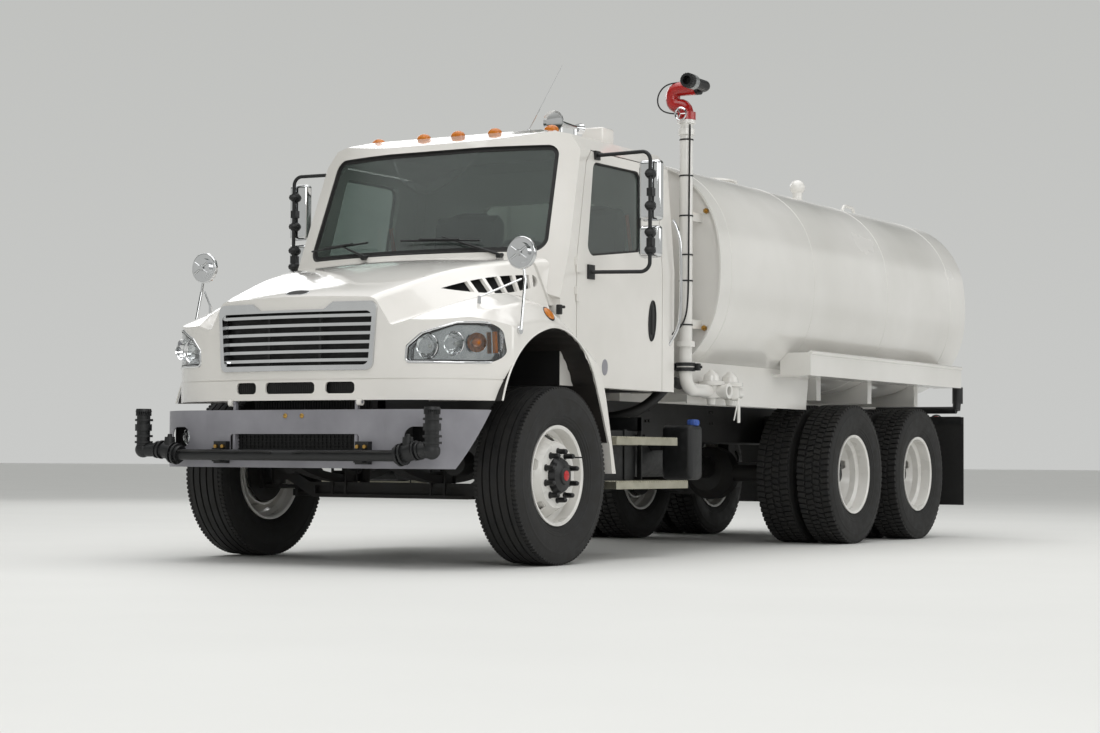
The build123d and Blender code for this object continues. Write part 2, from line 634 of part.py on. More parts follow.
def cab_parts():
    outer = cab_volume(0)
    shell = outer - cab_volume(CAB_WALL) + cowl()
    opening = side_cut(DOOR_OUTLINE, 0, DOOR_INNER_X - 60, CAB_HALF + 50)
    leaf_cut = side_cut(DOOR_OUTLINE, -OPEN_GAP, DOOR_INNER_X - 60, CAB_HALF + 50)
    leaf_cut -= block((0, DOOR_INNER_X - 22), (0, 3000), (CAB_BOTTOM - 50, 1300))
    opening -= block((0, DOOR_INNER_X - 30), (0, 3000), (CAB_BOTTOM - 50, 1300))
    window = side_cut(WINDOW_OUTLINE, 0, 700, CAB_HALF + 50, 60)
    door = (shell & leaf_cut) - window
    pane = (outer - cab_volume(5)) & side_cut(WINDOW_OUTLINE, -SEAT, 700, CAB_HALF + 50, 60)
    pane = Pos(-20, 0, 0) * pane
    slab = side_prism([(SCREEN_BASE_Y - 100, BELT_Z), (SCREEN_BASE_Y + 250, BELT_Z),
                       (SCREEN_BASE_Y + 550, 2650), (SCREEN_BASE_Y + 200, 2650)], -1000, 1000)
    screen_cut = front_prism([(-905, 1898), (905, 1898), (850, 2590), (-850, 2590)], -300, 760, 80) & slab
    rear_cut = front_prism([(-450, 1980), (450, 1980), (450, 2380), (-450, 2380)], 1600, 1900, 60)
    screen = Pos(0, 20, 0) * (outer - cab_volume(6))
    screen &= front_prism([(-904.7, 1898.3), (904.7, 1898.3), (849.7, 2589.7), (-849.7, 2589.7)],
                          -300, 730, 80)
    rear_pane = front_prism([(-449.7, 1980.3), (449.7, 1980.3), (449.7, 2379.7), (-449.7, 2379.7)],
                            CAB_BACK_Y - 30, CAB_BACK_Y - 24, 60)
    cab = shell - opening - mirror(opening, Plane.YZ) - screen_cut - rear_cut
    for z in DOOR_HINGES_Z:
        barrel = rod((DOOR_PIN_X, DOOR_PIN_Y, z + SEAT), (DOOR_PIN_X, DOOR_PIN_Y, z + 45), DOOR_PIN_R)
        barrel += block((CAB_HALF - 20, DOOR_PIN_X), (DOOR_PIN_Y - 20, DOOR_PIN_Y), (z + SEAT, z + 45))
        cab += barrel + mirror(barrel, Plane.YZ)
        door += rod((DOOR_PIN_X, DOOR_PIN_Y, z - 45), (DOOR_PIN_X, DOOR_PIN_Y, z), DOOR_PIN_R)
        door += block((CAB_HALF + SEAT, DOOR_PIN_X + 4), (DOOR_PIN_Y, DOOR_FRONT_Y + 40), (z - 45, z))
        door += block((CAB_HALF - 8, DOOR_PIN_X + 4), (DOOR_FRONT_Y + OPEN_GAP, DOOR_FRONT_Y + 40),
                      (z - 45, z))
    return cab, door, pane, group([screen, rear_pane])


def dashboard():
    """The dash across the cab, with the steering column from it."""
    dash = side_prism([
        (500, 1420), (700, 1450), (700, 1740), (600, 1840), (330, 1840), (420, 1700), (500, 1640),
    ], -900, 900)
    column = rod(tuple(c - 300 * a for c, a in zip(COLUMN_END, WHEEL_AXIS)), COLUMN_END, 32)
    return (dash + column) & cab_volume(CAB_WALL + SEAT)


def steering_wheel():
    place = Plane(origin=WHEEL_CENTRE, x_dir=(1, 0, 0), z_dir=WHEEL_AXIS)
    wheel = Torus(225, 15) + Cylinder(48, 2 * WHEEL_HUB_HALF)
    for n in range(4):
        wheel += Rot(0, 0, 45 + 90 * n) * Pos(125, 0, 0) * Box(190, 26, 10)
    return place * wheel


def seats():
    """Driver's and passenger's seats with their pedestals."""
    cushion = side_prism([(960, 1430), (1460, 1400), (1470, 1540), (960, 1570)], -250, 250)
    rest = side_prism([(1430, 1500), (1580, 1500), (1660, 2250), (1580, 2300), (1530, 2250)], -240, 240)
    stand = block((-160, 160), (1020, 1400), (CAB_BOTTOM + CAB_WALL, 1420))
    one = cushion + rest + stand
    return group([Pos(x, 0, 0) * one for x in (WHEEL_X, -WHEEL_X)])


def hood_plan(inset):
    """Plan of the hood: a bowed nose and round corners that run out past the fenders' sides."""
    side = (FENDER_HALF - inset + 6, inset - 509)
    front = HOOD_FRONT_Y + inset
    wide = FENDER_HALF + 80
    nose = ThreePointArc((-640, front + 60), (0, front), (640, front + 60))
    right = ThreePointArc(nose @ 1, (980, inset * 0.8 - 830), side)
    left = ThreePointArc((-side[0], side[1]), (-980, inset * 0.8 - 830), nose @ 0)
    back = Polyline(side, (wide, -400), (wide, 900), (-wide, 900), (-wide, -400), left @ 0)
    return make_face([nose, right, back, left])


def hood_points(station, inset):
    """The corners of one station's right half, from the shoulder down to the side's top."""
    corners = [(x - inset, z - inset) for x, z in station[2:-1]]
    return corners + [(FENDER_HALF - inset, station[-1] - inset)]


def hood_section(station, inset, bottom=420, rounded=True):
    """One station's outline: crown, shoulder, valley, fender crest, brow and a level bottom."""
    right = hood_points(station, inset)
    right.append((FENDER_HALF - inset, bottom))
    left = [(-x, z) for x, z in reversed(right)]
    top = ThreePointArc(left[-1], (0, station[1] - inset), right[0])
    face = make_face([top, Polyline(*right, *left)])
    for (x, z), radius in zip(right, HOOD_FILLETS if rounded else ()):
        face = fillet([v for v in face.vertices() if hypot(abs(v.X) - x, v.Y - z) < 0.5], radius)
    return Plane.XZ.offset(-station[0]) * face


def hood_hollow():
    """The room under the hood's skin, with plain corners."""
    room = loft([hood_section(station, HOOD_WALL, 410, False) for station in HOOD_STATIONS])
    return room & extrude(Plane.XY.offset(400) * hood_plan(HOOD_WALL), 1700)


def hood_loft(inset):
    """Hood and fenders along the truck as one closed form."""
    return loft([hood_section(station, inset) for station in HOOD_STATIONS])


def tail_lines():
    """The rear edge of a fender from its top down to its foot."""
    upper = ThreePointArc((TAIL_REAR_Y, 1305), (TAIL_REAR_Y + 95, 1165), (TAIL_REAR_Y + 170, 1000))
    return [upper, Line(upper @ 1, TAIL_FOOT)]


def hood_limits():
    """All that the hood may fill up to the cab, all that a fender may, and the plan of both."""
    edge = tail_lines()
    rest = Polyline(TAIL_FOOT, (400, TAIL_FOOT[1]), (400, HOOD_BOTTOM), (-1300, HOOD_BOTTOM), (-1300, 2300),
                    (TAIL_REAR_Y, 2300), edge[0] @ 0)
    fender = extrude(Plane.YZ.offset(TAIL_X) * make_face(edge + [rest]), 300)
    bow = ThreePointArc((-TAIL_X, HOOD_REAR_Y), (0, HOOD_REAR_Y - 200), (TAIL_X, HOOD_REAR_Y))
    front = Polyline(bow @ 1, (TAIL_X, -1300), (-TAIL_X, -1300), bow @ 0)
    middle = extrude(Plane.XY.offset(HOOD_BOTTOM) * make_face([bow, front]), 1300)
    plan = extrude(Plane.XY.offset(400) * hood_plan(0), 1900)
    return middle, fender, plan


def hood_body():
    """Hood and fenders as one form, cut at the cab, at the fenders' tails and round the nose."""
    middle, fender, plan = hood_limits()
    form = hood_loft(0)
    tail = form & fender
    return ((form & middle) + tail + mirror(tail, Plane.YZ)) & plan


def arch_face():
    """The wheel's opening in a fender, seen from the side."""
    first = ThreePointArc((-640, HOOD_BOTTOM), (-489, 1213), (-193, 1382))
    crown = ThreePointArc(first @ 1, (-17, 1404), (141, 1366))
    third = ThreePointArc(crown @ 1, (302, 1270), (420, 1113))
    last = ThreePointArc(third @ 1, (517, 905), (591, 730))
    rest = Polyline(last @ 1, (628, TAIL_FOOT[1]), (628, 450), (-640, 450), first @ 0)
    return make_face([first, crown, third, last, rest])


def fender_tail():
    """The closed end of a fender behind the wheel, down to its foot."""
    edge = tail_lines()
    rest = Polyline(TAIL_FOOT, (400, TAIL_FOOT[1]), (400, HOOD_BOTTOM), (HOOD_REAR_Y, HOOD_BOTTOM),
                    (HOOD_REAR_Y, 2300), (TAIL_REAR_Y, 2300), edge[0] @ 0)
    side = extrude(Plane.YZ.offset(TAIL_X) * make_face(edge + [rest]), 300)
    skin = FENDER_HALF - HOOD_WALL / 2
    return side & front_prism([
        (TAIL_X, 1230), (1100, 1230), (1155, 1200), (skin, 1140), (skin, 500), (TAIL_X, 500),
    ], 200, 800)


def arch_liner():
    """The liner over the wheel, inside the fender's skin."""
    arch = arch_face()
    band = extrude(Plane.YZ.offset(700) * (offset(arch, 8) - arch), 490)
    room = block((0, 1150), (-900, 700), (HOOD_BOTTOM, 1500))
    room += block((0, FENDER_HALF - 8), (-900, 40), (HOOD_BOTTOM, 1500))
    middle, fender, plan = hood_limits()
    return band & room & (middle + fender) & plan


def louvre_cut():
    """The vent in the hood's side, an almond crossed by slanted slats."""
    upper = ThreePointArc((-550, 1618), (-200, 1700), (180, 1742))
    rear = ThreePointArc(upper @ 1, (196, 1700), (160, 1668))
    lower = ThreePointArc(rear @ 1, (-200, 1606), (-550, 1618))
    vent = extrude(Plane.YZ.offset(500) * make_face([upper, rear, lower]), 600)
    for n in range(5):
        y = 100 - 120 * n
        vent -= side_prism([(y, 1560), (y + 24, 1560), (y + 84, 1780), (y + 60, 1780)], 400, 1200)
    return vent


def hood_shell():
    """One moulded skin: crown, fenders with closed tails and liners, vents, seam and openings."""
    shell = hood_body() - hood_hollow()
    tail = fender_tail()
    liner = arch_liner()
    for fill in (tail, mirror(tail, Plane.YZ), liner, mirror(liner, Plane.YZ)):
        shell += fill
    groove = extrude(Plane.XY.offset(HOOD_SEAM_Z) * (hood_plan(-1) - hood_plan(5)), 6)
    cuts = [groove & block((-1300, 1300), (-1200, -560), (900, 1200)), grille_prism(0, 0)]
    arch = extrude(Plane.YZ.offset(690) * arch_face(), 650)
    for side in (1, -1):
        cuts += [sided(arch, side), sided(headlamp_cut(0), side), sided(louvre_cut(), side)]
    for x0, x1 in VALANCE_SLOTS:
        cuts.append(front_prism([(x0, 995), (x1, 995), (x1, 1062), (x0, 1062)], -1200, -850, 24))
    for cut in cuts:
        shell -= cut
    eye_x = RAIL_OUTER + 20
    for x0, x1 in ((eye_x, eye_x + 28), (-eye_x - 28, -eye_x)):
        shell += rod((x0, HINGE_Y, HINGE_Z), (x1, HINGE_Y, HINGE_Z), 20)
        shell -= rod((x0 - 1, HINGE_Y, HINGE_Z), (x1 + 1, HINGE_Y, HINGE_Z), HOOD_PIN_R + SEAT)
    return shell


def headlamp_cut(gap):
    """A lamp's rounded outline from the front, less a gap all round."""
    face = make_face(Polyline(*HEADLAMP_OUTLINE, close=True))
    for n, (x, z) in enumerate(HEADLAMP_OUTLINE):
        radius = 75 if n in (1, 2) else 25
        face = fillet([v for v in face.vertices() if hypot(v.X - x, v.Y - z) < 0.5], radius)
    if gap:
        face = offset(face, -gap)
    return extrude(Plane.XZ.offset(540) * face, 560)


def headlamps():
    """A lamp each side filling its hole in the hood's skin."""
    band = extrude(Plane.XY.offset(1000) * (hood_plan(2) - hood_plan(60)), 600)
    lens = band & headlamp_cut(SEAT) & hood_loft(HOOD_WALL / 2)
    solid = max(lens.solids(), key=lambda s: s.volume)
    return group([solid, mirror(solid, Plane.YZ)])


def grille_prism(gap, reach):
    """The grille's outline pulled through the nose, less a gap all round."""
    face = make_face(Polyline(*GRILLE_OUTLINE, close=True))
    face = fillet([v for v in face.vertices() if abs(v.X) > 500], 45)
    if gap:
        face = offset(face, -gap)
    return extrude(Plane.XZ.offset(850) * face, 350 + reach)


def grille():
    """A chrome frame with level bars across it, bowed with the hood's nose."""
    outline = grille_prism(SEAT, 0)
    opening = front_prism([(-520, 1158), (520, 1158), (545, 1466), (-545, 1466)], -1300, -800, 36)
    level = Plane.XY.offset(1000)
    bow, set_back, behind = (extrude(level * hood_plan(inset), 600) for inset in (-12, 14, 40))
    body = (outline & (bow - behind)) - opening
    band = outline & (set_back - behind)
    for n in range(GRILLE_BARS):
        z = 1188 + 51 * n
        body += block((-600, 600), (-1200, -800), (z - 9, z + 9)) & band
    return body


def fender_mirrors():
    """A round mirror on a bent post and a strut on each fender."""
    head_x = 1175
    head_y = -408
    head_z = 1817
    post_x = FENDER_HALF + 12
    one = Pos(post_x - 6 + SEAT, -472, 1366) * Rot(0, 90, 0) * Cylinder(24, 12)
    one += rod((post_x, -472, 1366), (post_x - 12, head_y, head_z - 150), 9)
    one += rod((post_x - 12, head_y, head_z - 156), (head_x, head_y, head_z), 9)
    one += rod((head_x, head_y, head_z - 150), (990, -572, 1556), 6)
    one += rod((990, -572, 1500), (990, -572, 1562), 11) - hood_loft(-SEAT)
    head = Pos(head_x, head_y, head_z) * Rot(90, 0, 0) * Cylinder(96, 30)
    front = rod((head_x, head_y - 12, head_z), (head_x, head_y - 34, head_z), 62)
    return both(one + fillet(head.edges(), 8) + front)


def door_mirror():
    """A bent tube on two door brackets, carrying a tall and a small head."""
    run_x = 1380
    run_y = 770
    low = 1790
    high = 2540
    foot_x = 978
    frame = tube([(foot_x, 800, high), (run_x, run_y, high), (run_x, run_y, low), (1020, 640, low)], 60, 12)
    frame += block((foot_x - 20, foot_x + 14), (770, 830), (high - 28, high + 28))
    frame += block((1018, 1042), (600, 680), (low - 45, low + 45))
    frame += soft_block((run_x - 95, run_x + 55), (run_y + 14, run_y + 90), (2110, 2490), 26)
    frame += soft_block((run_x - 95, run_x + 55), (run_y + 14, run_y + 80), (1880, 2080), 26)
    frame += block((run_x - 20, run_x + 20), (run_y - 10, run_y + 20), (2260, 2310))
    frame += block((run_x - 20, run_x + 20), (run_y - 10, run_y + 20), (1950, 2000))
    return frame


def steps():
    """Two treads each side, hung from the rail on plates."""
    treads = []
    for y0, y1, z in ((745, 1560, 768), (745, 1711, 490)):
        tread = block((900, 1165), (y0, y1), (z - 48, z))
        tread -= block((906, 1159), (y0 + 6, y1 - 6), (z - 49, z - 6))
        treads.append(tread)
    body = treads[0] + treads[1]
    for y in (790, 1500):
        body += block((900, 930), (y, y + 12), (450, 900))
        body += block((RAIL_OUTER, 930), (y, y + 12), (820, 900))
    return both(body)


def side_tanks():
    """A fuel tank each side under the cab and the air tanks behind it."""
    fuel = side_prism([
        (800, 480), (1450, 480), (1490, 520), (1490, 800), (1450, 815), (800, 815), (760, 780), (760, 520),
    ], 520, 890, 30)
    for y in (900, 1300):
        fuel += block((RAIL_OUTER, 521), (y, y + 60), (700, 820))
    air = rod((640, 1700, 640), (640, 2360, 640), 130)
    for y in (1780, 2240):
        air += block((RAIL_OUTER, 560), (y, y + 40), (640, 800))
    return group([fuel, mirror(fuel, Plane.YZ), air, mirror(air, Plane.YZ)])


def tank_section(inset):
    """The tank's section: four wide arcs joined by four corner arcs."""
    half = TANK_HALF - inset
    high = TANK_HALF_HEIGHT - inset
    side_r = TANK_SIDE_R - inset
    top_r = TANK_TOP_R - inset
    corner_r = TANK_CORNER_R - inset
    side_c = (half - side_r, 0)
    top_c = (0, high - top_r)
    near = side_r - corner_r
    far = top_r - corner_r
    gap = hypot(side_c[0], top_c[1])
    along = (near ** 2 - far ** 2 + gap ** 2) / (2 * gap)
    across = sqrt(near ** 2 - along ** 2)
    ux = (top_c[0] - side_c[0]) / gap
    uz = (top_c[1] - side_c[1]) / gap
    cx = side_c[0] + ux * along - uz * across
    cz = side_c[1] + uz * along + ux * across
    reach_side = hypot(cx - side_c[0], cz)
    side_point = (side_c[0] + (cx - side_c[0]) / reach_side * side_r, cz / reach_side * side_r)
    reach_top = hypot(cx, cz - top_c[1])
    top_point = (cx / reach_top * top_r, top_c[1] + (cz - top_c[1]) / reach_top * top_r)
    middle = atan2(side_point[1] - cz, side_point[0] - cx) + atan2(top_point[1] - cz, top_point[0] - cx)
    knee = (cx + corner_r * cos(middle / 2), cz + corner_r * sin(middle / 2))

    def spot(point, sx, sz):
        return (sx * point[0], TANK_Z + sz * point[1])

    arcs = [
        ThreePointArc(spot(side_point, 1, -1), (half, TANK_Z), spot(side_point, 1, 1)),
        ThreePointArc(spot(side_point, 1, 1), spot(knee, 1, 1), spot(top_point, 1, 1)),
        ThreePointArc(spot(top_point, 1, 1), (0, TANK_Z + high), spot(top_point, -1, 1)),
        ThreePointArc(spot(top_point, -1, 1), spot(knee, -1, 1), spot(side_point, -1, 1)),
        ThreePointArc(spot(side_point, -1, 1), (-half, TANK_Z), spot(side_point, -1, -1)),
        ThreePointArc(spot(side_point, -1, -1), spot(knee, -1, -1), spot(top_point, -1, -1)),
        ThreePointArc(spot(top_point, -1, -1), (0, TANK_Z - high), spot(top_point, 1, -1)),
        ThreePointArc(spot(top_point, 1, -1), spot(knee, 1, -1), spot(side_point, 1, -1)),
    ]
    return make_face(arcs)


def tank_prism(inset, y0, y1):
    return extrude(Plane.XZ.offset(-y1) * tank_section(inset), y1 - y0)


def tank_shell():
    """The closed tank, its heads set in behind a standing rim, with a stiffener."""
    tank = tank_prism(0, TANK_FRONT_Y, TANK_REAR_Y)
    tank -= tank_prism(HEAD_RIM, TANK_FRONT_Y - 1, TANK_FRONT_Y + HEAD_INSET)
    tank -= tank_prism(HEAD_RIM, TANK_REAR_Y - HEAD_INSET, TANK_REAR_Y + 1)
    low = TANK_Z - TANK_HALF_HEIGHT
    for x in (-500, 0, 500):
        tank += block((x - 30, x + 30), (TANK_FRONT_Y - 10, TANK_FRONT_Y + HEAD_INSET + 5),
                      (low + 120, low + 1450))
    return tank


def tank_saddles():
    """Long sills on the rails and cross bolsters cut to the tank's belly."""
    sill = block((RAIL_OUTER - 80, RAIL_OUTER), (TANK_FRONT_Y + 24, RAIL_REAR_Y - 20), (RAIL_TOP, 1105))
    pieces = sill + mirror(sill, Plane.YZ)
    for y in SADDLES_Y:
        pieces += block((SEAT - SKIRT_X, SKIRT_X - SEAT), (y - 40, y + 40), (1085, 1330))
    pieces -= tank_prism(-SEAT, TANK_FRONT_Y - 50, TANK_REAR_Y + 50)
    return pieces


def side_trays():
    """A hose trough high on each side and the skirt in front of the rear wheels."""
    floor = 1245
    edge = TRAY_X
    tray = front_prism([
        (edge - 212, floor), (edge, floor), (edge, 1412), (edge - 12, 1412), (edge - 12, floor + 12),
        (edge - 212, floor + 12),
    ], 3450, 6530)
    tray += rod((edge - 2, 3450, 1410), (edge - 2, 6530, 1410), 15)
    for y in (3450, 4500, 5500, 6518):
        tray += block((edge - 242, edge), (y, y + 12), (floor, 1412))
    skirt = side_prism([(2100, 1010), (4050, 1010), (4110, 1330), (2100, 1330)], SKIRT_X, SKIRT_X + 8)
    skirt += block((RAIL_OUTER, SKIRT_X + 4), (2700, 2712), (1040, 1100))
    skirt += block((SKIRT_X, edge - 100), (3462, 3474), (floor - 10, floor + 12))
    side = (tray + skirt) - tank_prism(-SEAT, TANK_FRONT_Y - 50, TANK_REAR_Y + 50)
    return both(side)


def valve(y):
    """A diaphragm valve: round body, bolted bonnet flange, cone and bottom plug."""
    body = Polyline((0, 1005), (28, 1005), (34, 1046), (66, 1052), (66, 1132), (90, 1138), (90, 1164),
                    (60, 1168), (52, 1204), (14, 1240), (0, 1240), close=True)
    return Pos(RISER_X, y, 0) * revolve(Plane.XZ * make_face(body), Axis.Z)


def side_pipework():
    """The riser from the side valves up the tank's front corner."""
    z = VALVE_Z
    pipe = tube([(RISER_X, 2700, z), (RISER_X, RISER_Y, z), (RISER_X, RISER_Y, RISER_TOP)], 110, RISER_R)
    pipe += rod((RISER_X, 2690, z), (RISER_X - 96, 2690, z), 36)
    for height in (1238, 1400):
        pipe += Pos(RISER_X, RISER_Y, height) * Cylinder(62, 36)
    for y in VALVES_Y:
        pipe += valve(y)
    outlet_y = VALVES_Y[0] + 4
    pipe += rod((RISER_X, outlet_y, z), (RISER_X + 120, outlet_y, z), 44)
    pipe += Pos(RISER_X + 112, 0, 0) * rod((0, outlet_y, z), (22, outlet_y, z), 52)
    pipe -= rod((RISER_X + 70, outlet_y, z), (RISER_X + 160, outlet_y, z), 31)
    pipe += Pos(RISER_X, RISER_Y, RISER_TOP - 12) * Cylinder(60, 24)
    pipe += Pos(RISER_X, RISER_Y, RISER_TOP - 80) * Cylinder(56, 40)
    for height in (1540, 2265):
        pipe += block((RISER_X - 10, RISER_X + 10), (RISER_Y + 40, TANK_FRONT_Y + HEAD_INSET),
                      (height - 30, height + 30))
    return pipe


def monitor_body():
    """The swivel base and the S-bent waterway up to the level joint."""
    z = RISER_TOP + SEAT
    top = z + MONITOR_RISE
    body = Pos(RISER_X, RISER_Y, z + 26) * Cylinder(MONITOR_R, 52)
    body += tube([(RISER_X, RISER_Y, z + 40), (RISER_X, RISER_Y, z + 96), (RISER_X - 100, RISER_Y, z + 96),
                  (RISER_X - 100, RISER_Y, top), (RISER_X + 75, RISER_Y, top)], 46, 40)
    body += rod((RISER_X + 45, RISER_Y, top), (RISER_X + 75, RISER_Y, top), 50)
    return body


def monitor_nozzle():
    """The elbow and nozzle that tip about the level joint."""
    z = RISER_TOP + SEAT + MONITOR_RISE
    x = RISER_X + 75 + SEAT
    nozzle = rod((x, RISER_Y, z), (x + 26, RISER_Y, z), 50)
    nozzle += tube([(x + 10, RISER_Y, z), (x + 78, RISER_Y, z), (x + 78, RISER_Y - 200, z)], 46, 36)
    nozzle += rod((x + 78, RISER_Y - 190, z), (x + 78, RISER_Y - 300, z), 46)
    nozzle -= rod((x + 78, RISER_Y - 250, z), (x + 78, RISER_Y - 301, z), 30)
    return nozzle


def rear_spray_bar():
    """The pipe across the tank's tail with a spray valve at each end."""
    y = TANK_REAR_Y - 25
    z = REAR_BEAM_TOP + 55
    bar = rod((-1150, y, z), (1150, y, z), 30)
    for side in (1, -1):
        end = rod((1150, y, z), (1150, REAR_REACH - 45, 1180), 34)
        end += rod((1150, REAR_REACH - 45, 1120), (1150, REAR_REACH - 45, 1260), 45)
        bar += sided(end, side)
    for x in (-400, 400):
        bar += block((x - 6, x + 6), (y - 20, y + 20), (REAR_BEAM_TOP + SEAT, z))
    bar -= tank_prism(-SEAT, TANK_FRONT_Y, TANK_REAR_Y)
    return bar


def rear_frame_end():
    """Rear cross beam that carries the lamps and the flaps."""
    beam = block((-1180, 1180), (RAIL_REAR_Y + SEAT, RAIL_REAR_Y + REAR_BEAM_DEPTH), (900, REAR_BEAM_TOP))
    return beam


def mud_flaps():
    flap = block((620, 1225), (RAIL_REAR_Y - 10, RAIL_REAR_Y), (260, 1005))
    return both(flap)


def rear_ladder():
    """Two rails with rungs up the tail."""
    y = REAR_REACH - 16
    ladder = rod((-900, y, 620), (-900, y, 2500), 16) + rod((-540, y, 620), (-540, y, 2500), 16)
    for n in range(7):
        ladder += rod((-900, y, 680 + 280 * n), (-540, y, 680 + 280 * n), 13)
    for x in (-900, -540):
        for z in (1500, 2250):
            ladder += block((x - 12, x + 12), (TANK_REAR_Y - HEAD_INSET, y), (z, z + 40))
    return ladder


def top_fittings():
    """Manhole neck, vents and a filler loop on the tank's crown."""
    neck = Pos(0, MANHOLE_Y, TANK_TOP + 10) * (Cylinder(255, 120) - Cylinder(243, 130))
    for x in (-95, 83):
        neck += block((x, x + 12), (MANHOLE_Y + 245, MANHOLE_Y + 335), (TANK_TOP - 20, TANK_TOP + 62))
        neck += block((x, x + 12), (MANHOLE_Y + 292, MANHOLE_Y + 335), (TANK_TOP - 20, TANK_TOP + 100))
    neck -= rod((-100, MANHOLE_Y + 315, TANK_TOP + 83), (100, MANHOLE_Y + 315, TANK_TOP + 83), 14 + SEAT)
    vent = rod((380, 5150, TANK_TOP - 60), (380, 5150, TANK_TOP + 120), 40)
    vent += Pos(380, 5150, TANK_TOP + 120) * Sphere(62)
    low = TANK_TOP - 60
    high = TANK_TOP + 90
    loop = tube([(300, 6250, low), (300, 6250, high), (300, 6500, high), (300, 6500, low)], 60, 14)
    body = tank_prism(-SEAT, TANK_FRONT_Y, TANK_REAR_Y)
    return group([neck - body, vent - body, loop - body])


def manhole_lid():
    top = TANK_TOP + 70
    lid = Pos(0, MANHOLE_Y, top + 7 + SEAT) * Cylinder(275, 14)
    lid += block((-60, 60), (MANHOLE_Y + 250, MANHOLE_Y + 315), (top + 1, top + 14))
    lid += rod((-92, MANHOLE_Y + 315, top + 13), (92, MANHOLE_Y + 315, top + 13), 14)
    return lid


def roof_fittings():
    """Five marker lamps, a horn, an antenna base and a box on the roof."""
    pieces = []
    for x, y in ((0, 700), (275, 713), (-275, 713), (670, 760), (-670, 760)):
        pieces.append(block((x - 45, x + 45), (y - 27, y + 27), (ROOF_Z - 40, ROOF_Z + 29)))
    horn = rod((600, 900, ROOF_Z + 70), (600, 1250, ROOF_Z + 70), 26)
    horn += rod((600, 880, ROOF_Z + 70), (600, 960, ROOF_Z + 70), 60)
    horn += block((580, 620), (1150, 1190), (ROOF_Z - 20, ROOF_Z + 60))
    box = block((520, 680), (1400, 1560), (ROOF_Z - 20, ROOF_Z + 100))
    antenna = rod((430, 880, ROOF_Z - 20), (430, 880, ROOF_Z + 60), 18)
    body = cab_volume(-SEAT)
    return group([piece - body for piece in pieces + [horn, box, antenna]])


def main():
    os.makedirs("parts", exist_ok=True)
    save_wheels()
    for name, side in SIDES:
        save(sided(knuckle(), side), f"knuckle_{name}")
    cab, door, pane, glass = cab_parts()
    mirror_frame = door_mirror() - cab_volume(-SEAT)
    for name, side in SIDES:
        save(sided(door, side), f"door_{name}")
        save(sided(pane, side), f"door_glass_{name}")
        save(sided(mirror_frame, side), f"door_mirror_{name}")
    hood = hood_shell()
    pieces = {
        "tie_rod": tie_rod(),
        "front_axle": front_axle(),
        "front_springs": front_springs(),
        "rear_axles": rear_axles(),
        "rear_suspension": rear_suspension(),
        "frame_rails": frame_rails(),
        "crossmembers": crossmembers(),
        "engine": engine(),
        "radiator": radiator(),
        "driveline": driveline(),
        "front_bumper": main_bumper(),
        "front_spray_bar": front_spray_bar(),
        "cab_shell": cab,
        "cab_glass": glass,
        "dashboard": dashboard(),
        "steering_wheel": steering_wheel(),
        "seats": seats(),
        "hood_shell": hood,
        "grille": grille(),
        "headlamps": headlamps(),
        "fender_mirrors": fender_mirrors(),
        "steps": steps(),
        "side_tanks": side_tanks(),
        "tank": tank_shell(),
        "tank_saddles": tank_saddles(),
        "side_trays": side_trays(),
        "side_pipework": side_pipework(),
        "monitor_body": monitor_body(),
        "monitor_nozzle": monitor_nozzle(),
        "rear_spray_bar": rear_spray_bar(),
        "rear_beam": rear_frame_end(),
        "mud_flaps": mud_flaps(),
        "rear_ladder": rear_ladder(),
        "top_fittings": top_fittings(),
        "manhole_lid": manhole_lid(),
        "roof_fittings": roof_fittings(),
    }
    for name, shape in pieces.items():
        save(shape, name)


main()
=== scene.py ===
import bpy
import bmesh
from math import atan2, cos, pi, radians, sin, sqrt
from mathutils import Matrix, Vector


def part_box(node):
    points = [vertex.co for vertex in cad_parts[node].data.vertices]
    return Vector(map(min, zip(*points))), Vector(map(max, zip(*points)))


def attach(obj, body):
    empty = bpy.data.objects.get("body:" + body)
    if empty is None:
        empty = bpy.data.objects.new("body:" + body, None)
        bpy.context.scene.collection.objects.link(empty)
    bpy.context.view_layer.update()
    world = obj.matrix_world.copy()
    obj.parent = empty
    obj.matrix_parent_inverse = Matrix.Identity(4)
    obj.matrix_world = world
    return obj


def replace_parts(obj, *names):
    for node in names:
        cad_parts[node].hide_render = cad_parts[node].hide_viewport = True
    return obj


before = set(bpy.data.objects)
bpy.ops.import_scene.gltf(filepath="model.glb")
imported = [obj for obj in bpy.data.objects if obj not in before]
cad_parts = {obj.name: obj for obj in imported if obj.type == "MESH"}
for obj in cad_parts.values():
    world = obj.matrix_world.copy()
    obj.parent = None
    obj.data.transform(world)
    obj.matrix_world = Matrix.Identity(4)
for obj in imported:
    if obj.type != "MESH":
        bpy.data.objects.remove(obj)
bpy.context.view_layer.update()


# Photo studio: a pale floor and a soft ceiling light, with a darker wall band all round.
# The wall band is what chrome and gloss paint mirror, so their shapes read.
def colour(code):
    """An sRGB hex colour as the linear values that Blender takes."""
    parts = [int(code[i:i + 2], 16) / 255 for i in (0, 2, 4)]
    return (*(p / 12.92 if p <= 0.04045 else ((p + 0.055) / 1.055) ** 2.4 for p in parts), 1)


def add(tree, kind, settings=None, **links):
    """Adds a node, gives it its settings, and links or sets its named or numbered inputs."""
    node = tree.nodes.new(kind)
    for name, value in (settings or {}).items():
        setattr(node, name, value)
    for name, value in links.items():
        socket = node.inputs[int(name[1:])] if name[1:].isdigit() else node.inputs[name.replace("_", " ")]
        if isinstance(value, bpy.types.NodeSocket):
            tree.links.new(value, socket)
        else:
            socket.default_value = value
    return node


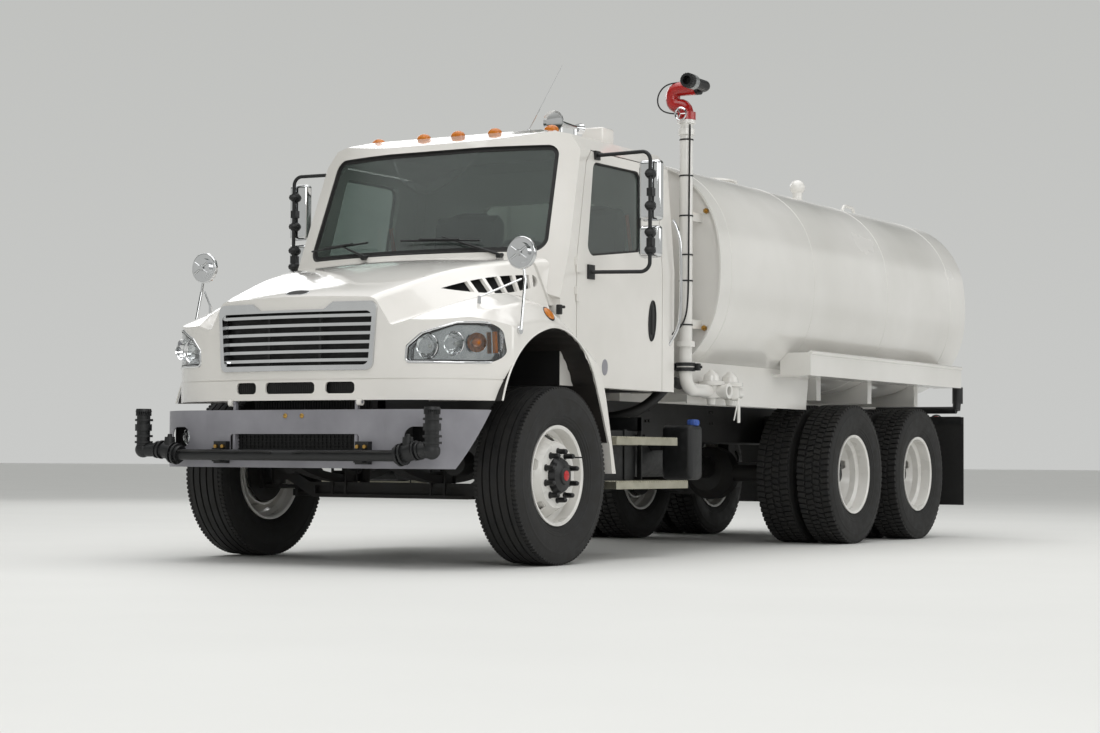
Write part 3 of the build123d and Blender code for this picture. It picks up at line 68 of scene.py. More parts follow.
def stand(name, data):
    """A new object in the scene that holds the data."""
    thing = bpy.data.objects.new(name, data)
    bpy.context.scene.collection.objects.link(thing)
    return thing


camera_data = bpy.data.cameras.new("camera")
camera = stand("camera", camera_data)
bpy.context.scene.camera = camera
camera_data.lens = 72.59
camera_data.sensor_width = 36
camera_spot = (7.870, -14.097, 0.631)
camera_azimuth = radians(30.859)
camera_pitch = radians(2.374)
camera_roll = radians(0.384)
forward = Vector((-sin(camera_azimuth) * cos(camera_pitch), cos(camera_azimuth) * cos(camera_pitch),
                  sin(camera_pitch)))
level = Vector((cos(camera_azimuth), sin(camera_azimuth), 0))
upright = level.cross(forward)
across = level * cos(camera_roll) + upright * sin(camera_roll)
upward = upright * cos(camera_roll) - level * sin(camera_roll)
turned_view = Matrix((across, upward, -forward)).transposed().to_4x4()
camera.matrix_world = Matrix.Translation(camera_spot) @ turned_view

bpy.context.scene.view_settings.view_transform = "Standard"
world = bpy.data.worlds.new("studio")
bpy.context.scene.world = world
world.use_nodes = True
sky = world.node_tree
look = add(sky, "ShaderNodeTexCoord")
height = add(sky, "ShaderNodeSeparateXYZ", _0=look.outputs["Generated"])
band = add(sky, "ShaderNodeValToRGB", _0=height.outputs["Z"])
band.color_ramp.elements[0].position = 0.0
band.color_ramp.elements[0].color = colour("E4E5E3")
band.color_ramp.elements[1].position = 1.0
band.color_ramp.elements[1].color = colour("FFFFFF")
for share, shade in ((0.22, "DADBD8"), (0.30, "4A4F4A"), (0.48, "5C625C"), (0.60, "F2F3F2")):
    band.color_ramp.elements.new(share).color = colour(shade)
sky.links.new(band.outputs["Color"], sky.nodes["Background"].inputs["Color"])
sky.nodes["Background"].inputs["Strength"].default_value = 0.75

for name, spot, size, power, aim in (
        ("ceiling", (0, -1, 11), (10, 16), 700, (0, -0.5, 0)),
        ("front", (9, -13, 7), (7, 5), 420, (0, -2, 1.3)),
        ("side", (14, 3, 6), (12, 5), 380, (0, 1, 1.3)),
        ("behind", (-12, 9, 8), (9, 5), 300, (0, 0, 1.5))):
    lamp = bpy.data.lights.new(name, "AREA")
    lamp.shape = "RECTANGLE"
    lamp.size, lamp.size_y = size
    lamp.energy = power
    holder = stand(name, lamp)
    holder.location = spot
    holder.rotation_euler = (Vector(aim) - Vector(spot)).to_track_quat("-Z", "Y").to_euler()


def finish(name):
    """A new material with its node tree and its surface shader."""
    material = bpy.data.materials.new(name)
    material.use_nodes = True
    return material, material.node_tree, material.node_tree.nodes["Principled BSDF"]


floor_mesh = bpy.data.meshes.new("floor")
floor = stand("floor", floor_mesh)
sheet = bmesh.new()
bmesh.ops.create_circle(sheet, cap_ends=True, segments=64, radius=160)
sheet.to_mesh(floor_mesh)
concrete, tree, surface = finish("pale_floor_concrete")
spot = add(tree, "ShaderNodeTexCoord").outputs["Object"]
stains = add(tree, "ShaderNodeTexNoise", Scale=0.6, Detail=6.0, Vector=spot).outputs["Fac"]
tone = add(tree, "ShaderNodeMix", {"data_type": "RGBA"}, Factor=stains, _6=colour("DCDCD9"), _7=colour("E4E4E1"))
tree.links.new(tone.outputs[2], surface.inputs["Base Color"])
surface.inputs["Roughness"].default_value = 0.75
floor_mesh.materials.append(concrete)


# Chassis: pressed steel channels riveted to cross channels, in one coat of black chassis paint.
# The sills under the tank and the beam across the tail are the same plate, with the tail beam bolted on.
origin_station = 2810


def at(x, y, z):
    """A point given in millimetres, with y from the front axle to the rear, as metres in the frame."""
    return Vector((x / 1000, (y - origin_station) / 1000, z / 1000))


slots = {}


def paint(name, dark, light, scale, smooth, rough, grain=0, depth=0.0, slot=None, **inputs):
    """A finish with cloudy colour and gloss and a fine relief, in the object's own metres, and its usual slot."""
    material, tree, surface = finish(name)
    slots[name] = slot
    spot = add(tree, "ShaderNodeTexCoord").outputs["Object"]
    cloud = add(tree, "ShaderNodeTexNoise", Scale=scale, Detail=6.0, Vector=spot).outputs["Fac"]
    spread = add(tree, "ShaderNodeMapRange", Value=cloud, From_Min=0.3, From_Max=0.7)
    tone = add(tree, "ShaderNodeMix", {"data_type": "RGBA"}, Factor=spread.outputs[0], _6=colour(dark),
               _7=colour(light))
    gloss = add(tree, "ShaderNodeMapRange", Value=cloud, From_Min=0.3, From_Max=0.7, To_Min=smooth, To_Max=rough)
    tree.links.new(tone.outputs[2], surface.inputs["Base Color"])
    tree.links.new(gloss.outputs[0], surface.inputs["Roughness"])
    if grain:
        relief = add(tree, "ShaderNodeTexNoise", Scale=grain, Detail=3.0, Vector=spot).outputs["Fac"]
        bump = add(tree, "ShaderNodeBump", Strength=0.6, Distance=depth, Height=relief)
        tree.links.new(bump.outputs[0], surface.inputs["Normal"])
    for socket, value in inputs.items():
        surface.inputs[socket.replace("_", " ")].default_value = value
    return material


def coat(material, *nodes):
    """The material on the slots of CAD nodes."""
    for node in nodes:
        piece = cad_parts[node]
        piece.data.materials.clear()
        piece.data.materials.append(material)


def bar(form, start, end, radius, tip=None, sides=20):
    """A round bar between two points, tapered if it has a second radius."""
    line = end - start
    middle = Matrix.Translation((start + end) / 2) @ line.to_track_quat("Z", "Y").to_matrix().to_4x4()
    return bmesh.ops.create_cone(form, cap_ends=True, segments=sides, radius1=radius,
                                 radius2=radius if tip is None else tip, depth=line.length, matrix=middle)


def brick(form, low, high, corner=0.0, steps=2, turn=None):
    """A box between any two opposite corners, its edges rounded, turned about its middle if asked."""
    size = Vector([abs(b - a) for a, b in zip(low, high)])
    spot = Matrix.Translation((low + high) / 2) @ (turn or Matrix.Identity(4)) @ Matrix.Diagonal((*size, 1))
    made = bmesh.ops.create_cube(form, size=1, matrix=spot)
    if corner:
        edges = list({edge for vert in made["verts"] for edge in vert.link_edges})
        bmesh.ops.bevel(form, geom=edges, offset=corner, segments=steps, profile=0.5, affect="EDGES", material=-1)


def place(name, form, material, body="chassis", angle=35, slot=None):
    """Turns a form into an object that rides with a body, smooth below an angle and sharp above it."""
    bmesh.ops.recalc_face_normals(form, faces=form.faces)
    for face in form.faces:
        face.smooth = True
    for edge in form.edges:
        edge.smooth = len(edge.link_faces) == 2 and edge.calc_face_angle(0) < radians(angle)
    mesh = bpy.data.meshes.new(name)
    form.to_mesh(mesh)
    form.free()
    mesh.materials.append(material)
    piece = stand(name, mesh)
    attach(piece, body)
    slot = slot or slots[material.name]
    return piece


# Satin paint on rolled steel: dull, with wide soft highlights.
chassis_black_and_shade = paint("black_chassis_paint_and_painted_shade", "131314", "1F1E1D", 3.0, 0.42, 0.62, 500, 0.0004, slot="black_paint")
coat(chassis_black_and_shade, "frame_rails", "crossmembers", "rear_beam")
rail_face = 432
crossmember_stations = (-640, 1450, 2500, 3500, 5050, 5900, 6630)
bolts = bmesh.new()
for y in crossmember_stations:
    for side in (1, -1):
        for dy in (-22, 22):
            for z in (900, 980):
                bar(bolts, at(rail_face * side, y + dy, z), at((rail_face + 12) * side, y + dy, z), 0.012, 0.010, 6)
place("rail_bolts", bolts, chassis_black_and_shade)


# Axles and springs: forged beam, cast drive-axle housings and stacked spring leaves, all sprayed black.
# Brake chambers of pressed steel are clamped on the axles, and U-bolts hold the springs down.
# Sprayed castings: rough skin, so hardly any highlight.
cast_black = paint("black_cast_iron", "18181A", "2A2825", 9.0, 0.5, 0.75, 240, 0.0012, slot="cast_black")
coat(cast_black, "front_axle", "front_springs", "rear_axles", "rear_suspension", "tie_rod",
     "knuckle_left", "knuckle_right")
drive_axles = (4396, 5704)
chamber_x, chamber_z = 600, 640
hardware = bmesh.new()
for side in (1, -1):
    for x in (320, 420):
        for dy in (-56, 56):
            bar(hardware, at(x * side, dy, 400), at(x * side, dy, 590), 0.009, sides=12)
            bar(hardware, at(x * side, dy, 572), at(x * side, dy, 592), 0.017, sides=6)
    x, z = chamber_x * side, chamber_z
    for y in drive_axles:
        for dy in (-150, 150):
            bar(hardware, at(x, y + dy, z), at(x, y + dy * 1.9, z), 0.078, sides=28)
            bar(hardware, at(x, y + dy * 1.4, z), at(x, y + dy * 1.46, z), 0.088, sides=28)
            bar(hardware, at(x, y + dy * 0.4, z - 40), at(x, y + dy, z), 0.012, sides=12)
    bar(hardware, at(610 * side, -120, 600), at(610 * side, -240, 600), 0.075, sides=28)
    bar(hardware, at(300 * side, 120, 470), at(300 * side, 200, 860), 0.032, sides=20)
place("brake_chambers_and_u_bolts", hardware, cast_black)


# Tyres: black rubber moulded over a steel-belted casing. The steering pair has four straight grooves
# and notched shoulders; the eight drive tyres have four rows of deep blocks. Rings run round the sidewalls.
def arc(first, middle, last, count):
    """Points along the circle through three (a, b) pairs."""
    (ax, ay), (bx, by), (cx, cy) = first, middle, last
    double = 2 * (ax * (by - cy) + bx * (cy - ay) + cx * (ay - by))
    a2, b2, c2 = ax * ax + ay * ay, bx * bx + by * by, cx * cx + cy * cy
    hub_a = (a2 * (by - cy) + b2 * (cy - ay) + c2 * (ay - by)) / double
    hub_b = (a2 * (cx - bx) + b2 * (ax - cx) + c2 * (bx - ax)) / double
    radius = sqrt((ax - hub_a) ** 2 + (ay - hub_b) ** 2)
    start, via, stop = (atan2(b - hub_b, a - hub_a) for a, b in (first, middle, last))
    while via < start:
        via += 2 * pi
    while stop < start:
        stop += 2 * pi
    if via > stop:
        stop -= 2 * pi
    angles = [start + (stop - start) * n / count for n in range(count + 1)]
    return [(hub_a + radius * cos(angle), hub_b + radius * sin(angle)) for angle in angles]


def turned(form, outline, centre, axis, steps=64):
    """A chain of (along, radius) pairs spun once round an axis through a point."""
    out = axis.orthogonal().normalized()
    points = [form.verts.new(centre + axis * a + out * r) for a, r in outline]
    edges = [form.edges.new(pair) for pair in zip(points, points[1:])]
    bmesh.ops.spin(form, geom=points + edges, cent=centre, axis=axis, angle=2 * pi, steps=steps, use_merge=True)
    bmesh.ops.remove_doubles(form, verts=form.verts[:], dist=1e-6)


def sidewall(bead, half, shoulder, radius):
    """One side of the casing from the bead to the shoulder, with raised rings."""
    rim_edge, widest = 0.3005, 0.398
    base = [(bead, 0.2863), (bead, rim_edge)]
    for x, r in arc((bead, rim_edge), (half, widest), (shoulder, radius - 0.026), 40)[1:]:
        raised = any(low < r < low + 0.006 for low in (0.322, 0.336, 0.352)) or 0.452 < r < 0.464
        base.append((x + (0.0022 if raised else 0), r))
    return base


def blocks(form, count, x, width, length, low, high, skew, shift=0.0):
    """One row of rounded tread blocks round a tyre whose axle line is X."""
    row = bmesh.new()
    turn = Matrix.Rotation(skew, 4, "Z")
    reach = Vector((width / 2, length / 2, 0))
    brick(row, Vector((x, 0, low)) - reach, Vector((x, 0, high)) + reach, 0.003, 1, turn)
    bmesh.ops.rotate(row, verts=row.verts[:], cent=(0, 0, 0), matrix=Matrix.Rotation(shift, 3, "X"))
    bmesh.ops.spin(row, geom=row.verts[:] + row.edges[:] + row.faces[:], cent=(0, 0, 0), axis=(1, 0, 0),
                   angle=2 * pi * (count - 1) / count, steps=count - 1, use_duplicate=True)
    mesh = bpy.data.meshes.new("row")
    row.to_mesh(mesh)
    row.free()
    form.from_mesh(mesh)
    bpy.data.meshes.remove(mesh)


front_radius, rear_radius = 530, 527


def casing(kind):
    """A tyre about its own middle with the axle line along X, as a mesh."""
    form = bmesh.new()
    if kind == "front":
        radius = front_radius / 1000
        side = sidewall(0.1075, 0.152, 0.144, radius)
        crown = [(0.1385, 0.516), (0.128, 0.5195), (0.113, 0.5195), (0.112, 0.526)]
        for groove in (0.078, 0.026, -0.026, -0.078):
            for dx, drop in ((0.006, 0), (0.0045, 0.014), (-0.0045, 0.014), (-0.006, 0)):
                x = groove + dx
                crown.append((x, radius - 0.3 * x * x - drop))
        crown += [(-x, r) for x, r in reversed(crown[:4])]
    else:
        side = sidewall(0.107, 0.1395, 0.1315, rear_radius / 1000)
        crown = [(0.1265, 0.507), (0.117, 0.509), (0.0, 0.511), (-0.117, 0.509), (-0.1265, 0.507)]
    outline = side + crown + [(-x, r) for x, r in reversed(side)] + [side[0]]
    turned(form, outline, Vector((0, 0, 0)), Vector((1, 0, 0)), 96)
    if kind == "front":
        for x in (0.1265, -0.1265):
            blocks(form, 118, x, 0.029, 0.0185, 0.506, 0.5255, 0.0)
        for x in (0.052, 0.0, -0.052):
            blocks(form, 118, x, 0.036, 0.0005, 0.52, 0.5292, 0.5)
    else:
        for x, skew, shift in ((0.096, 0.12, 0), (-0.096, -0.12, 0.04)):
            blocks(form, 72, x, 0.060, 0.034, 0.490, 0.5258, skew, shift)
        for x, skew, shift in ((0.030, -0.2, 0.02), (-0.030, 0.2, 0.06)):
            blocks(form, 72, x, 0.050, 0.033, 0.495, 0.5262, skew, shift)
    mesh = bpy.data.meshes.new("casing_" + kind)
    form.to_mesh(mesh)
    form.free()
    return mesh


# Moulded rubber: dark and matt, a little dusty, with a fine grain.
tyre_rubber = paint("tyre_rubber", "141415", "242321", 14.0, 0.62, 0.85, 900, 0.0003, slot="tyre")
mould = {"front": casing("front"), "rear": casing("rear")}
single, twin = (1068,), (1084.5, 754.5)
sides = (("left", 1), ("right", -1))
for name, side in sides:
    for node, body, kind, columns, y, z in (
            ("front_tyre_", "front_wheel_", "front", single, 0, front_radius),
            ("rear_tyres_1_", "rear_wheels_1_", "rear", twin, drive_axles[0], rear_radius),
            ("rear_tyres_2_", "rear_wheels_2_", "rear", twin, drive_axles[1], rear_radius)):
        form = bmesh.new()
        for x in columns:
            start = len(form.verts)
            form.from_mesh(mould[kind])
            form.verts.ensure_lookup_table()
            bmesh.ops.translate(form, verts=form.verts[start:], vec=at(x * side, y, z))
        tyre = place(node + name + "_rubber", form, tyre_rubber, body + name, 30)
        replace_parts(tyre, node + name)
for mesh in mould.values():
    bpy.data.meshes.remove(mesh)


# Wheels: pressed and welded steel discs and rims in baked white enamel, bolted on ten studs.
# The steering hubs are black with a red middle cap, and long black covers stand on every nut.
def circle(centre, plane, radius, count, start=0.0):
    """Points spaced evenly round a centre, in the plane of two axes."""
    for n in range(count):
        angle = start + 2 * pi * n / count
        spot = centre.copy()
        spot["XYZ".index(plane[0])] += radius * cos(angle)
        spot["XYZ".index(plane[1])] += radius * sin(angle)
        yield spot


# Baked enamel is smooth and clean; the hub's paint is glossy black; moulded covers and the cap are shiny.
wheel_enamel = paint("white_wheel_enamel", "D9D7D2", "E8E6E2", 6.0, 0.22, 0.38, 350, 0.0002, Coat_Weight=0.3)
hub_black = paint("black_hub_paint", "101011", "1B1B1C", 12.0, 0.3, 0.5, 400, 0.0003, slot="cast_black")
cover_black = paint("black_nut_cover_plastic", "0C0C0D", "151516", 20.0, 0.25, 0.4, slot="dark_plastic")
cap_red = paint("red_cap_plastic", "A8131A", "C01A20", 20.0, 0.2, 0.35, slot="red_paint")
stem_rubber = paint("valve_stem_rubber", "151515", "1E1E1E", 40.0, 0.5, 0.7, slot="black_rubber")
stud_circle = 0.142875
front_hub = ((1.5, 112), (8, 111), (14, 106), (36, 95), (49, 56), (60, 52), (62, 46), (62, 30))
drive_hub = ((5, 112), (12, 111), (88, 101), (110, 100), (111, 66), (143, 62), (144, 0))
nut_cover = ((0, 21), (3, 21), (4, 16.5), (52, 15), (60, 13), (65, 8), (66, 0))
for name, side in sides:
    axis = Vector((side, 0, 0))
    for wheel, y, z, face, hub in (("front_wheel_" + name, 0, front_radius, 1183, front_hub),
                                   ("rear_wheels_1_" + name, drive_axles[0], rear_radius, 930.5, drive_hub),
                                   ("rear_wheels_2_" + name, drive_axles[1], rear_radius, 930.5, drive_hub)):
        coat(wheel_enamel, wheel)
        centre = at(face * side, y, z)
        form = bmesh.new()
        turned(form, [(a / 1000, r / 1000) for a, r in hub], centre, axis, 56)
        if hub is drive_hub:
            for spot in circle(centre + axis * 0.108, "YZ", 0.083, 8):
                bar(form, spot, spot + axis * 0.012, 0.011, sides=6)
        place(wheel + "_hub", form, hub_black, wheel)
        covers = bmesh.new()
        for spot in circle(centre, "YZ", stud_circle, 10, 0.3):
            turned(covers, [(a / 1000, r / 1000) for a, r in nut_cover], spot, axis, 18)
        place(wheel + "_nut_covers", covers, cover_black, wheel)
        if hub is front_hub:
            cap = bmesh.new()
            turned(cap, [(0.0615, 0.031), (0.064, 0.029), (0.066, 0.024), (0.067, 0.0)], centre, axis, 40)
            place(wheel + "_cap", cap, cap_red, wheel)
        stem = bmesh.new()
        spot = centre + Vector((0, sin(1.1), cos(1.1))) * 0.238
        bar(stem, spot - axis * 0.01, spot + axis * 0.055, 0.005, 0.004, 12)
        place(wheel + "_valve", stem, stem_rubber, wheel)


# Engine, radiator and driveline: a cast engine block on rubber mounts, a finned core between two tanks,
# and a cast gearbox with balanced steel shafts to the drive axles.
# Bare cast iron: mid grey, grainy and dull.
grey_cast = paint("grey_cast_iron", "4A4A4B", "626262", 8.0, 0.45, 0.7, 260, 0.001)
coat(grey_cast, "engine", "driveline")
coat(chassis_black_and_shade, "radiator")
fins = bmesh.new()
for n in range(44):
    x = -410 + 820 * n / 43
    brick(fins, at(x - 1.2, -836, 835), at(x + 1.2, -829, 1445))
place("radiator_fins", fins, chassis_black_and_shade)


# Bumper: a pressed steel channel in silk grey paint, in a middle and two wrapped ends.
# Black mesh stands behind its opening, one round fog lamp sits in the right end, bolts hold the tow plates.
# Silk paint gives soft reflections, plating sharp ones; the mesh swallows light; the lens is clear as glass.
bumper_grey = paint("silk_grey_bumper_paint", "828187", "96959B", 4.0, 0.32, 0.48, 300, 0.0002, slot="grey_paint")
mesh_black_and_shade = paint("black_moulded_mesh_and_painted_shade", "0B0B0C", "161616", 30.0, 0.5, 0.7, 700, 0.0005, slot="dark_plastic")
brass = paint("brass", "B08A48", "C9A35E", 20.0, 0.25, 0.4, Metallic=1.0, slot="chrome")
chrome = paint("bright_chrome", "D2D3D4", "DEDFE0", 5.0, 0.04, 0.1, Metallic=1.0, slot="chrome")
clear_lens = paint("clear_polycarbonate", "EDF0F0", "F6F8F8", 5.0, 0.02, 0.06, Transmission_Weight=1.0, IOR=1.58,
                   slot="lamp_lens")
bulb_glass = paint("frosted_bulb_glass", "E6E8E6", "F4F4F0", 20.0, 0.15, 0.3, slot="lamp_lens")
coat(bumper_grey, "front_bumper")
rearward = Vector((0, 1, 0))
backing = bmesh.new()
brick(backing, at(-485, -968, 622), at(485, -960, 770))
for n in range(33):
    brick(backing, at(-470 + 29.2 * n, -974, 626), at(-464 + 29.2 * n, -968, 768))
for n in range(7):
    brick(backing, at(-480, -978, 636 + 20 * n), at(480, -972, 641 + 20 * n), 0.0015, 1)
for side in (1, -1):
    brick(backing, at(870 * side - 120, -885, 670), at(870 * side + 120, -875, 820))
place("bumper_mesh", backing, mesh_black_and_shade)
fastenings = bmesh.new()
for x in (-60, 60):
    turned(fastenings, [(0, 0.014), (0.004, 0.014), (0.008, 0.009), (0.009, 0)], at(x, -1010, 868), -rearward, 20)
for side in (1, -1):
    for dx in (-26, 26):
        bar(fastenings, at(513 * side + dx, -1050, 690), at(513 * side + dx, -1062, 690), 0.013, 0.012, 6)
place("bumper_bolts", fastenings, brass)
fog = bmesh.new()
turned(fog, [(0.03, 0.001), (0.03, 0.02), (0.0, 0.044), (-0.004, 0.05), (-0.006, 0.056), (0.0, 0.058), (0.04, 0.05)],
       at(-822, -942, 748), rearward, 40)
place("fog_lamp_bowl", fog, chrome)
fog = bmesh.new()
turned(fog, [(0.0, 0.052), (-0.006, 0.046), (-0.012, 0.025), (-0.014, 0.0)], at(-822, -944, 748), rearward, 40)
place("fog_lamp_lens", fog, clear_lens)


# Front spray bar: black powder-coated steel pipe with a cast air valve and an upturned spray head at each end.
# Each valve is bolted between flanges, with threaded unions and a control cable clipped along the pipe.
# Powder coat: even, faintly pebbled, between satin and gloss.
powder_black = paint("black_powder_coat", "101112", "1C1D1E", 25.0, 0.38, 0.55, 900, 0.0004, slot="black_paint")
coat(powder_black, "front_spray_bar")
head_x, head_y = 1040, -1120
valves = bmesh.new()
for side in (1, -1):
    for x, y, z, r in ((800, -1087, 643, 64), (826, -1089, 649, 64), (912, -1092, 668, 56), (940, -1096, 668, 52)):
        spot = at(x * side, y, z)
        bar(valves, spot, spot + Vector((0.012 * side, 0, 0.002)), r / 1000, sides=32)
    for spot in circle(at(794 * side, -1087, 644), "YZ", 0.052, 8):
        bar(valves, spot, spot + Vector((0.05 * side, 0, 0.006)), 0.0065, sides=6)
    bar(valves, at(860 * side, -1090, 690), at(860 * side, -1090, 745), 0.034, 0.03, 28)
    bar(valves, at(860 * side, -1090, 742), at(860 * side, -1090, 762), 0.016, 0.012, 16)
    for z in (706, 742, 838):
        bar(valves, at(head_x * side, head_y + 4, z), at(head_x * side, head_y + 4, z + 13), 0.0535, sides=36)
    for spot in circle(at(head_x * side, head_y, 870), "XY", 0.043, 24):
        bar(valves, spot, spot + Vector((0, 0, 0.03)), 0.0035, sides=8)
    bar(valves, at(head_x * side, head_y, 895), at(head_x * side, head_y, 912), 0.049, 0.044, 36)
place("spray_bar_valves", valves, powder_black)


def wire(name, points, radius, material, body="chassis", slot=None, closed=False, order=3):
    """A round wire, hose or rim bent along points, as a curve with a thickness."""
    data = bpy.data.curves.new(name, "CURVE")
    data.dimensions = "3D"
    data.bevel_depth = radius
    data.bevel_resolution = 4
    data.use_fill_caps = True
    spline = data.splines.new("NURBS")
    spline.points.add(len(points) - 1)
    for knot, point in zip(spline.points, points):
        knot.co = (*point, 1)
    spline.order_u = order
    spline.resolution_u = 4
    spline.use_endpoint_u = not closed
    spline.use_cyclic_u = closed
    data.materials.append(material)
    piece = stand(name, data)
    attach(piece, body)
    slot = slot or slots[material.name]
    return piece


hose_black = paint("black_rubber_hose", "121212", "1D1C1B", 20.0, 0.5, 0.7, slot="black_rubber")
for name, side in sides:
    cable = [at(x * side, -1122, 669 if n % 2 else 655) for n, x in enumerate((860, 760, 640, 500, 360, 220, 80))]
    wire("spray_bar_cable_" + name, cable, 0.005, hose_black)


# Hood: one moulded skin of glass-fibre plastic in white enamel, with its fenders and vents.
# Ribbed black liners hang over the wheels, and a black panel closes each vent from inside.
# Enamel under a clear coat: clean white with sharp reflections over a faint waviness.
white_enamel = paint("white_cab_enamel", "DEDBD5", "EAE7E2", 1.5, 0.12, 0.22, 700, 0.00005, Coat_Weight=0.8,
                     Coat_Roughness=0.06, slot="white_paint")


def merged(node):
    """A copy of a CAD node's mesh, with its loose triangles joined."""
    form = bmesh.new()
    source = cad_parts[node]
    form.from_mesh(source.data)
    bmesh.ops.transform(form, matrix=source.matrix_world, verts=form.verts[:])
    bmesh.ops.remove_doubles(form, verts=form.verts[:], dist=2e-5)
    return form


def skin(node, material, body, angle=28, cuts=()):
    """A merged copy of a CAD node, smooth across its small facets, that stands for it."""
    form = merged(node)
    for spot, way in cuts:
        bmesh.ops.bisect_plane(form, geom=form.verts[:] + form.edges[:] + form.faces[:], plane_co=spot, plane_no=way)
    piece = place(node + "_skin", form, material, body, angle)
    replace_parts(piece, node)
    return piece


def ribbon(form, points, shifts, closed=False):
    """A strip: a chain of edges through points, drawn out so that each point moves by its own shift."""
    chain = [form.verts.new(point) for point in points]
    edges = [form.edges.new(pair) for pair in zip(chain, chain[1:] + chain[:1] if closed else chain[1:])]
    shift = dict(zip(chain, shifts))
    for vert in bmesh.ops.extrude_edge_only(form, edges=edges)["geom"]:
        if isinstance(vert, bmesh.types.BMVert):
            vert.co += next(shift[edge.other_vert(vert)] for edge in vert.link_edges if edge.other_vert(vert) in shift)


def thicken(piece, thickness):
    """Gives a sheet its wall."""
    piece.modifiers.new("thickness", "SOLIDIFY").thickness = thickness


skin("hood_shell", white_enamel, "hood")
# Rough moulded plastic: brownish black and matt.
liner_black = paint("black_liner_plastic", "171412", "25201C", 10.0, 0.6, 0.8, 400, 0.0008, slot="dark_plastic")
liner_inner, liner_width, rib_floor = 702, 484, 1050
outline = arc((-640, 957), (-489, 1213), (-193, 1382), 16) + arc((-193, 1382), (-17, 1404), (141, 1366), 12)[1:]
outline += arc((141, 1366), (302, 1270), (420, 1113), 14)[1:] + arc((420, 1113), (517, 905), (591, 730), 16)[1:]
for name, side in sides:
    form = bmesh.new()
    points = []
    for n, (y, z) in enumerate(outline):
        inward = Vector((0, -y, front_radius - z)).normalized() * (3 if n % 3 or z < rib_floor else 10)
        points.append(at(liner_inner * side, y + inward.y, z + inward.z))
    ribbon(form, points, [Vector((liner_width / 1000 * side, 0, 0))] * len(points))
    thicken(place("arch_liner_" + name, form, liner_black, "hood", 50), 0.002)
    wire("arch_lip_" + name, [at(1197 * side, y, z) for y, z in outline[::2]], 0.006, white_enamel, "hood")
    form = bmesh.new()
    front = at(676 * side, -570, 1560), at(600 * side, -570, 1690)
    rear = at(900 * side, 215, 1590), at(790 * side, 215, 1800)
    ribbon(form, front, [b - a for a, b in zip(front, rear)])
    thicken(place("vent_panel_" + name, form, mesh_black_and_shade, "hood"), 0.004)
panel = bmesh.new()
for x0, x1, y in ((-430, -258, -992), (-200, 170, -1010), (230, 440, -990)):
    brick(panel, at(x0, y, 985), at(x1, y + 4, 1070))
    for n in range(int((x1 - x0) / 14)):
        brick(panel, at(x0 + 14 * n, y - 3, 990), at(x0 + 14 * n + 4, y, 1066))
place("valance_mesh", panel, mesh_black_and_shade, "hood")


def disc(form, spot, size, small=0.5, sides=48):
    """An oval disc of three sizes at a place that is also turned, with a smaller end if asked."""
    bmesh.ops.create_cone(form, cap_ends=True, segments=sides, radius1=0.5, radius2=small, depth=1,
                          matrix=spot @ Matrix.Diagonal((*size, 1)))


badge = bmesh.new()
tilt = Matrix.Translation(at(0, -982, 1582)) @ Matrix.Rotation(radians(30), 4, "X")
disc(badge, tilt, (0.165, 0.062, 0.006), 0.46)
place("blank_badge", badge, chassis_black_and_shade, "hood", slot="dark_plastic")
rim = [tilt @ Vector((0.082 * cos(2 * pi * n / 24), 0.031 * sin(2 * pi * n / 24), 0.002)) for n in range(24)]
wire("badge_ring", rim, 0.0035, chrome, "hood", closed=True)
# Lenses are deep amber and glossy; moulded rubber is black and matt.
amber = paint("amber_lens", "D6741A", "E8902A", 20.0, 0.1, 0.2, Transmission_Weight=0.35, IOR=1.5)
rubber = paint("black_moulded_rubber", "101010", "1B1A19", 30.0, 0.5, 0.75, 600, 0.0003, slot="black_rubber")
for name, side in sides:
    spot = at(1163 * side, -85, 1482)
    out = Vector((0.82 * side, 0, 0.57))
    form = bmesh.new()
    turned(form, [(-0.004, 0.043), (0.006, 0.043), (0.012, 0.036), (0.016, 0.02), (0.017, 0)], spot, out, 36)
    place("side_marker_" + name, form, amber, "hood")
    ring = bmesh.new()
    turned(ring, [(-0.006, 0.05), (0.004, 0.05), (0.007, 0.045), (0.004, 0.042)], spot, out, 36)
    place("side_marker_seat_" + name, ring, rubber, "hood")
    latch = bmesh.new()
    brick(latch, at(1046 * side, 196, 1500), at(1078 * side, 226, 1560), 0.006)
    bar(latch, at(1066 * side, 190, 1548), at(1066 * side, 262, 1548), 0.009, sides=16)
    place("hood_latch_" + name, latch, rubber, "hood")


# Grille: a chromed frame with six bars across it, moulded plastic with a bright finish.
# Dark insect mesh stands behind the bars, and dark uprights clip the bars together.
coat(chrome, "grille")
bow, half_width = 60, 640
screen = bmesh.new()
points = []
for n in range(25):
    x = -556 + 1112 * n / 24
    points.append(at(x, -975 + bow * (x / half_width) ** 2, 1135))
ribbon(screen, points, [Vector((0, 0, 0.341))] * len(points))
thicken(place("grille_mesh", screen, mesh_black_and_shade, "hood"), 0.003)
clips = bmesh.new()
for x in (-185, 185):
    y = -1018 + bow * (x / half_width) ** 2
    brick(clips, at(x - 9, y, 1162), at(x + 9, y + 14, 1462), 0.003)
place("grille_uprights", clips, mesh_black_and_shade, "hood")


# Headlamps: a clear moulded lens over a bright housing with two bowls and bulbs.
# An amber lamp stands at the outer end, and a bright bezel with a black border frames the lens.
# Plastic with a thin film of metal: bright, with softer reflections than plating.
housing_chrome = paint("vacuum_metallised_plastic", "B4B6B8", "C6C8CA", 12.0, 0.08, 0.18, Metallic=1.0, slot="chrome")
lens_form = merged("headlamps")
house_form = lens_form.copy()


def faces_out(face):
    """Whether a lamp's face looks forward and outward, as the lens does."""
    side = 1 if face.calc_center_median().x > 0 else -1
    return face.normal.dot(Vector((0.55 * side, -0.83, 0))) > 0.25


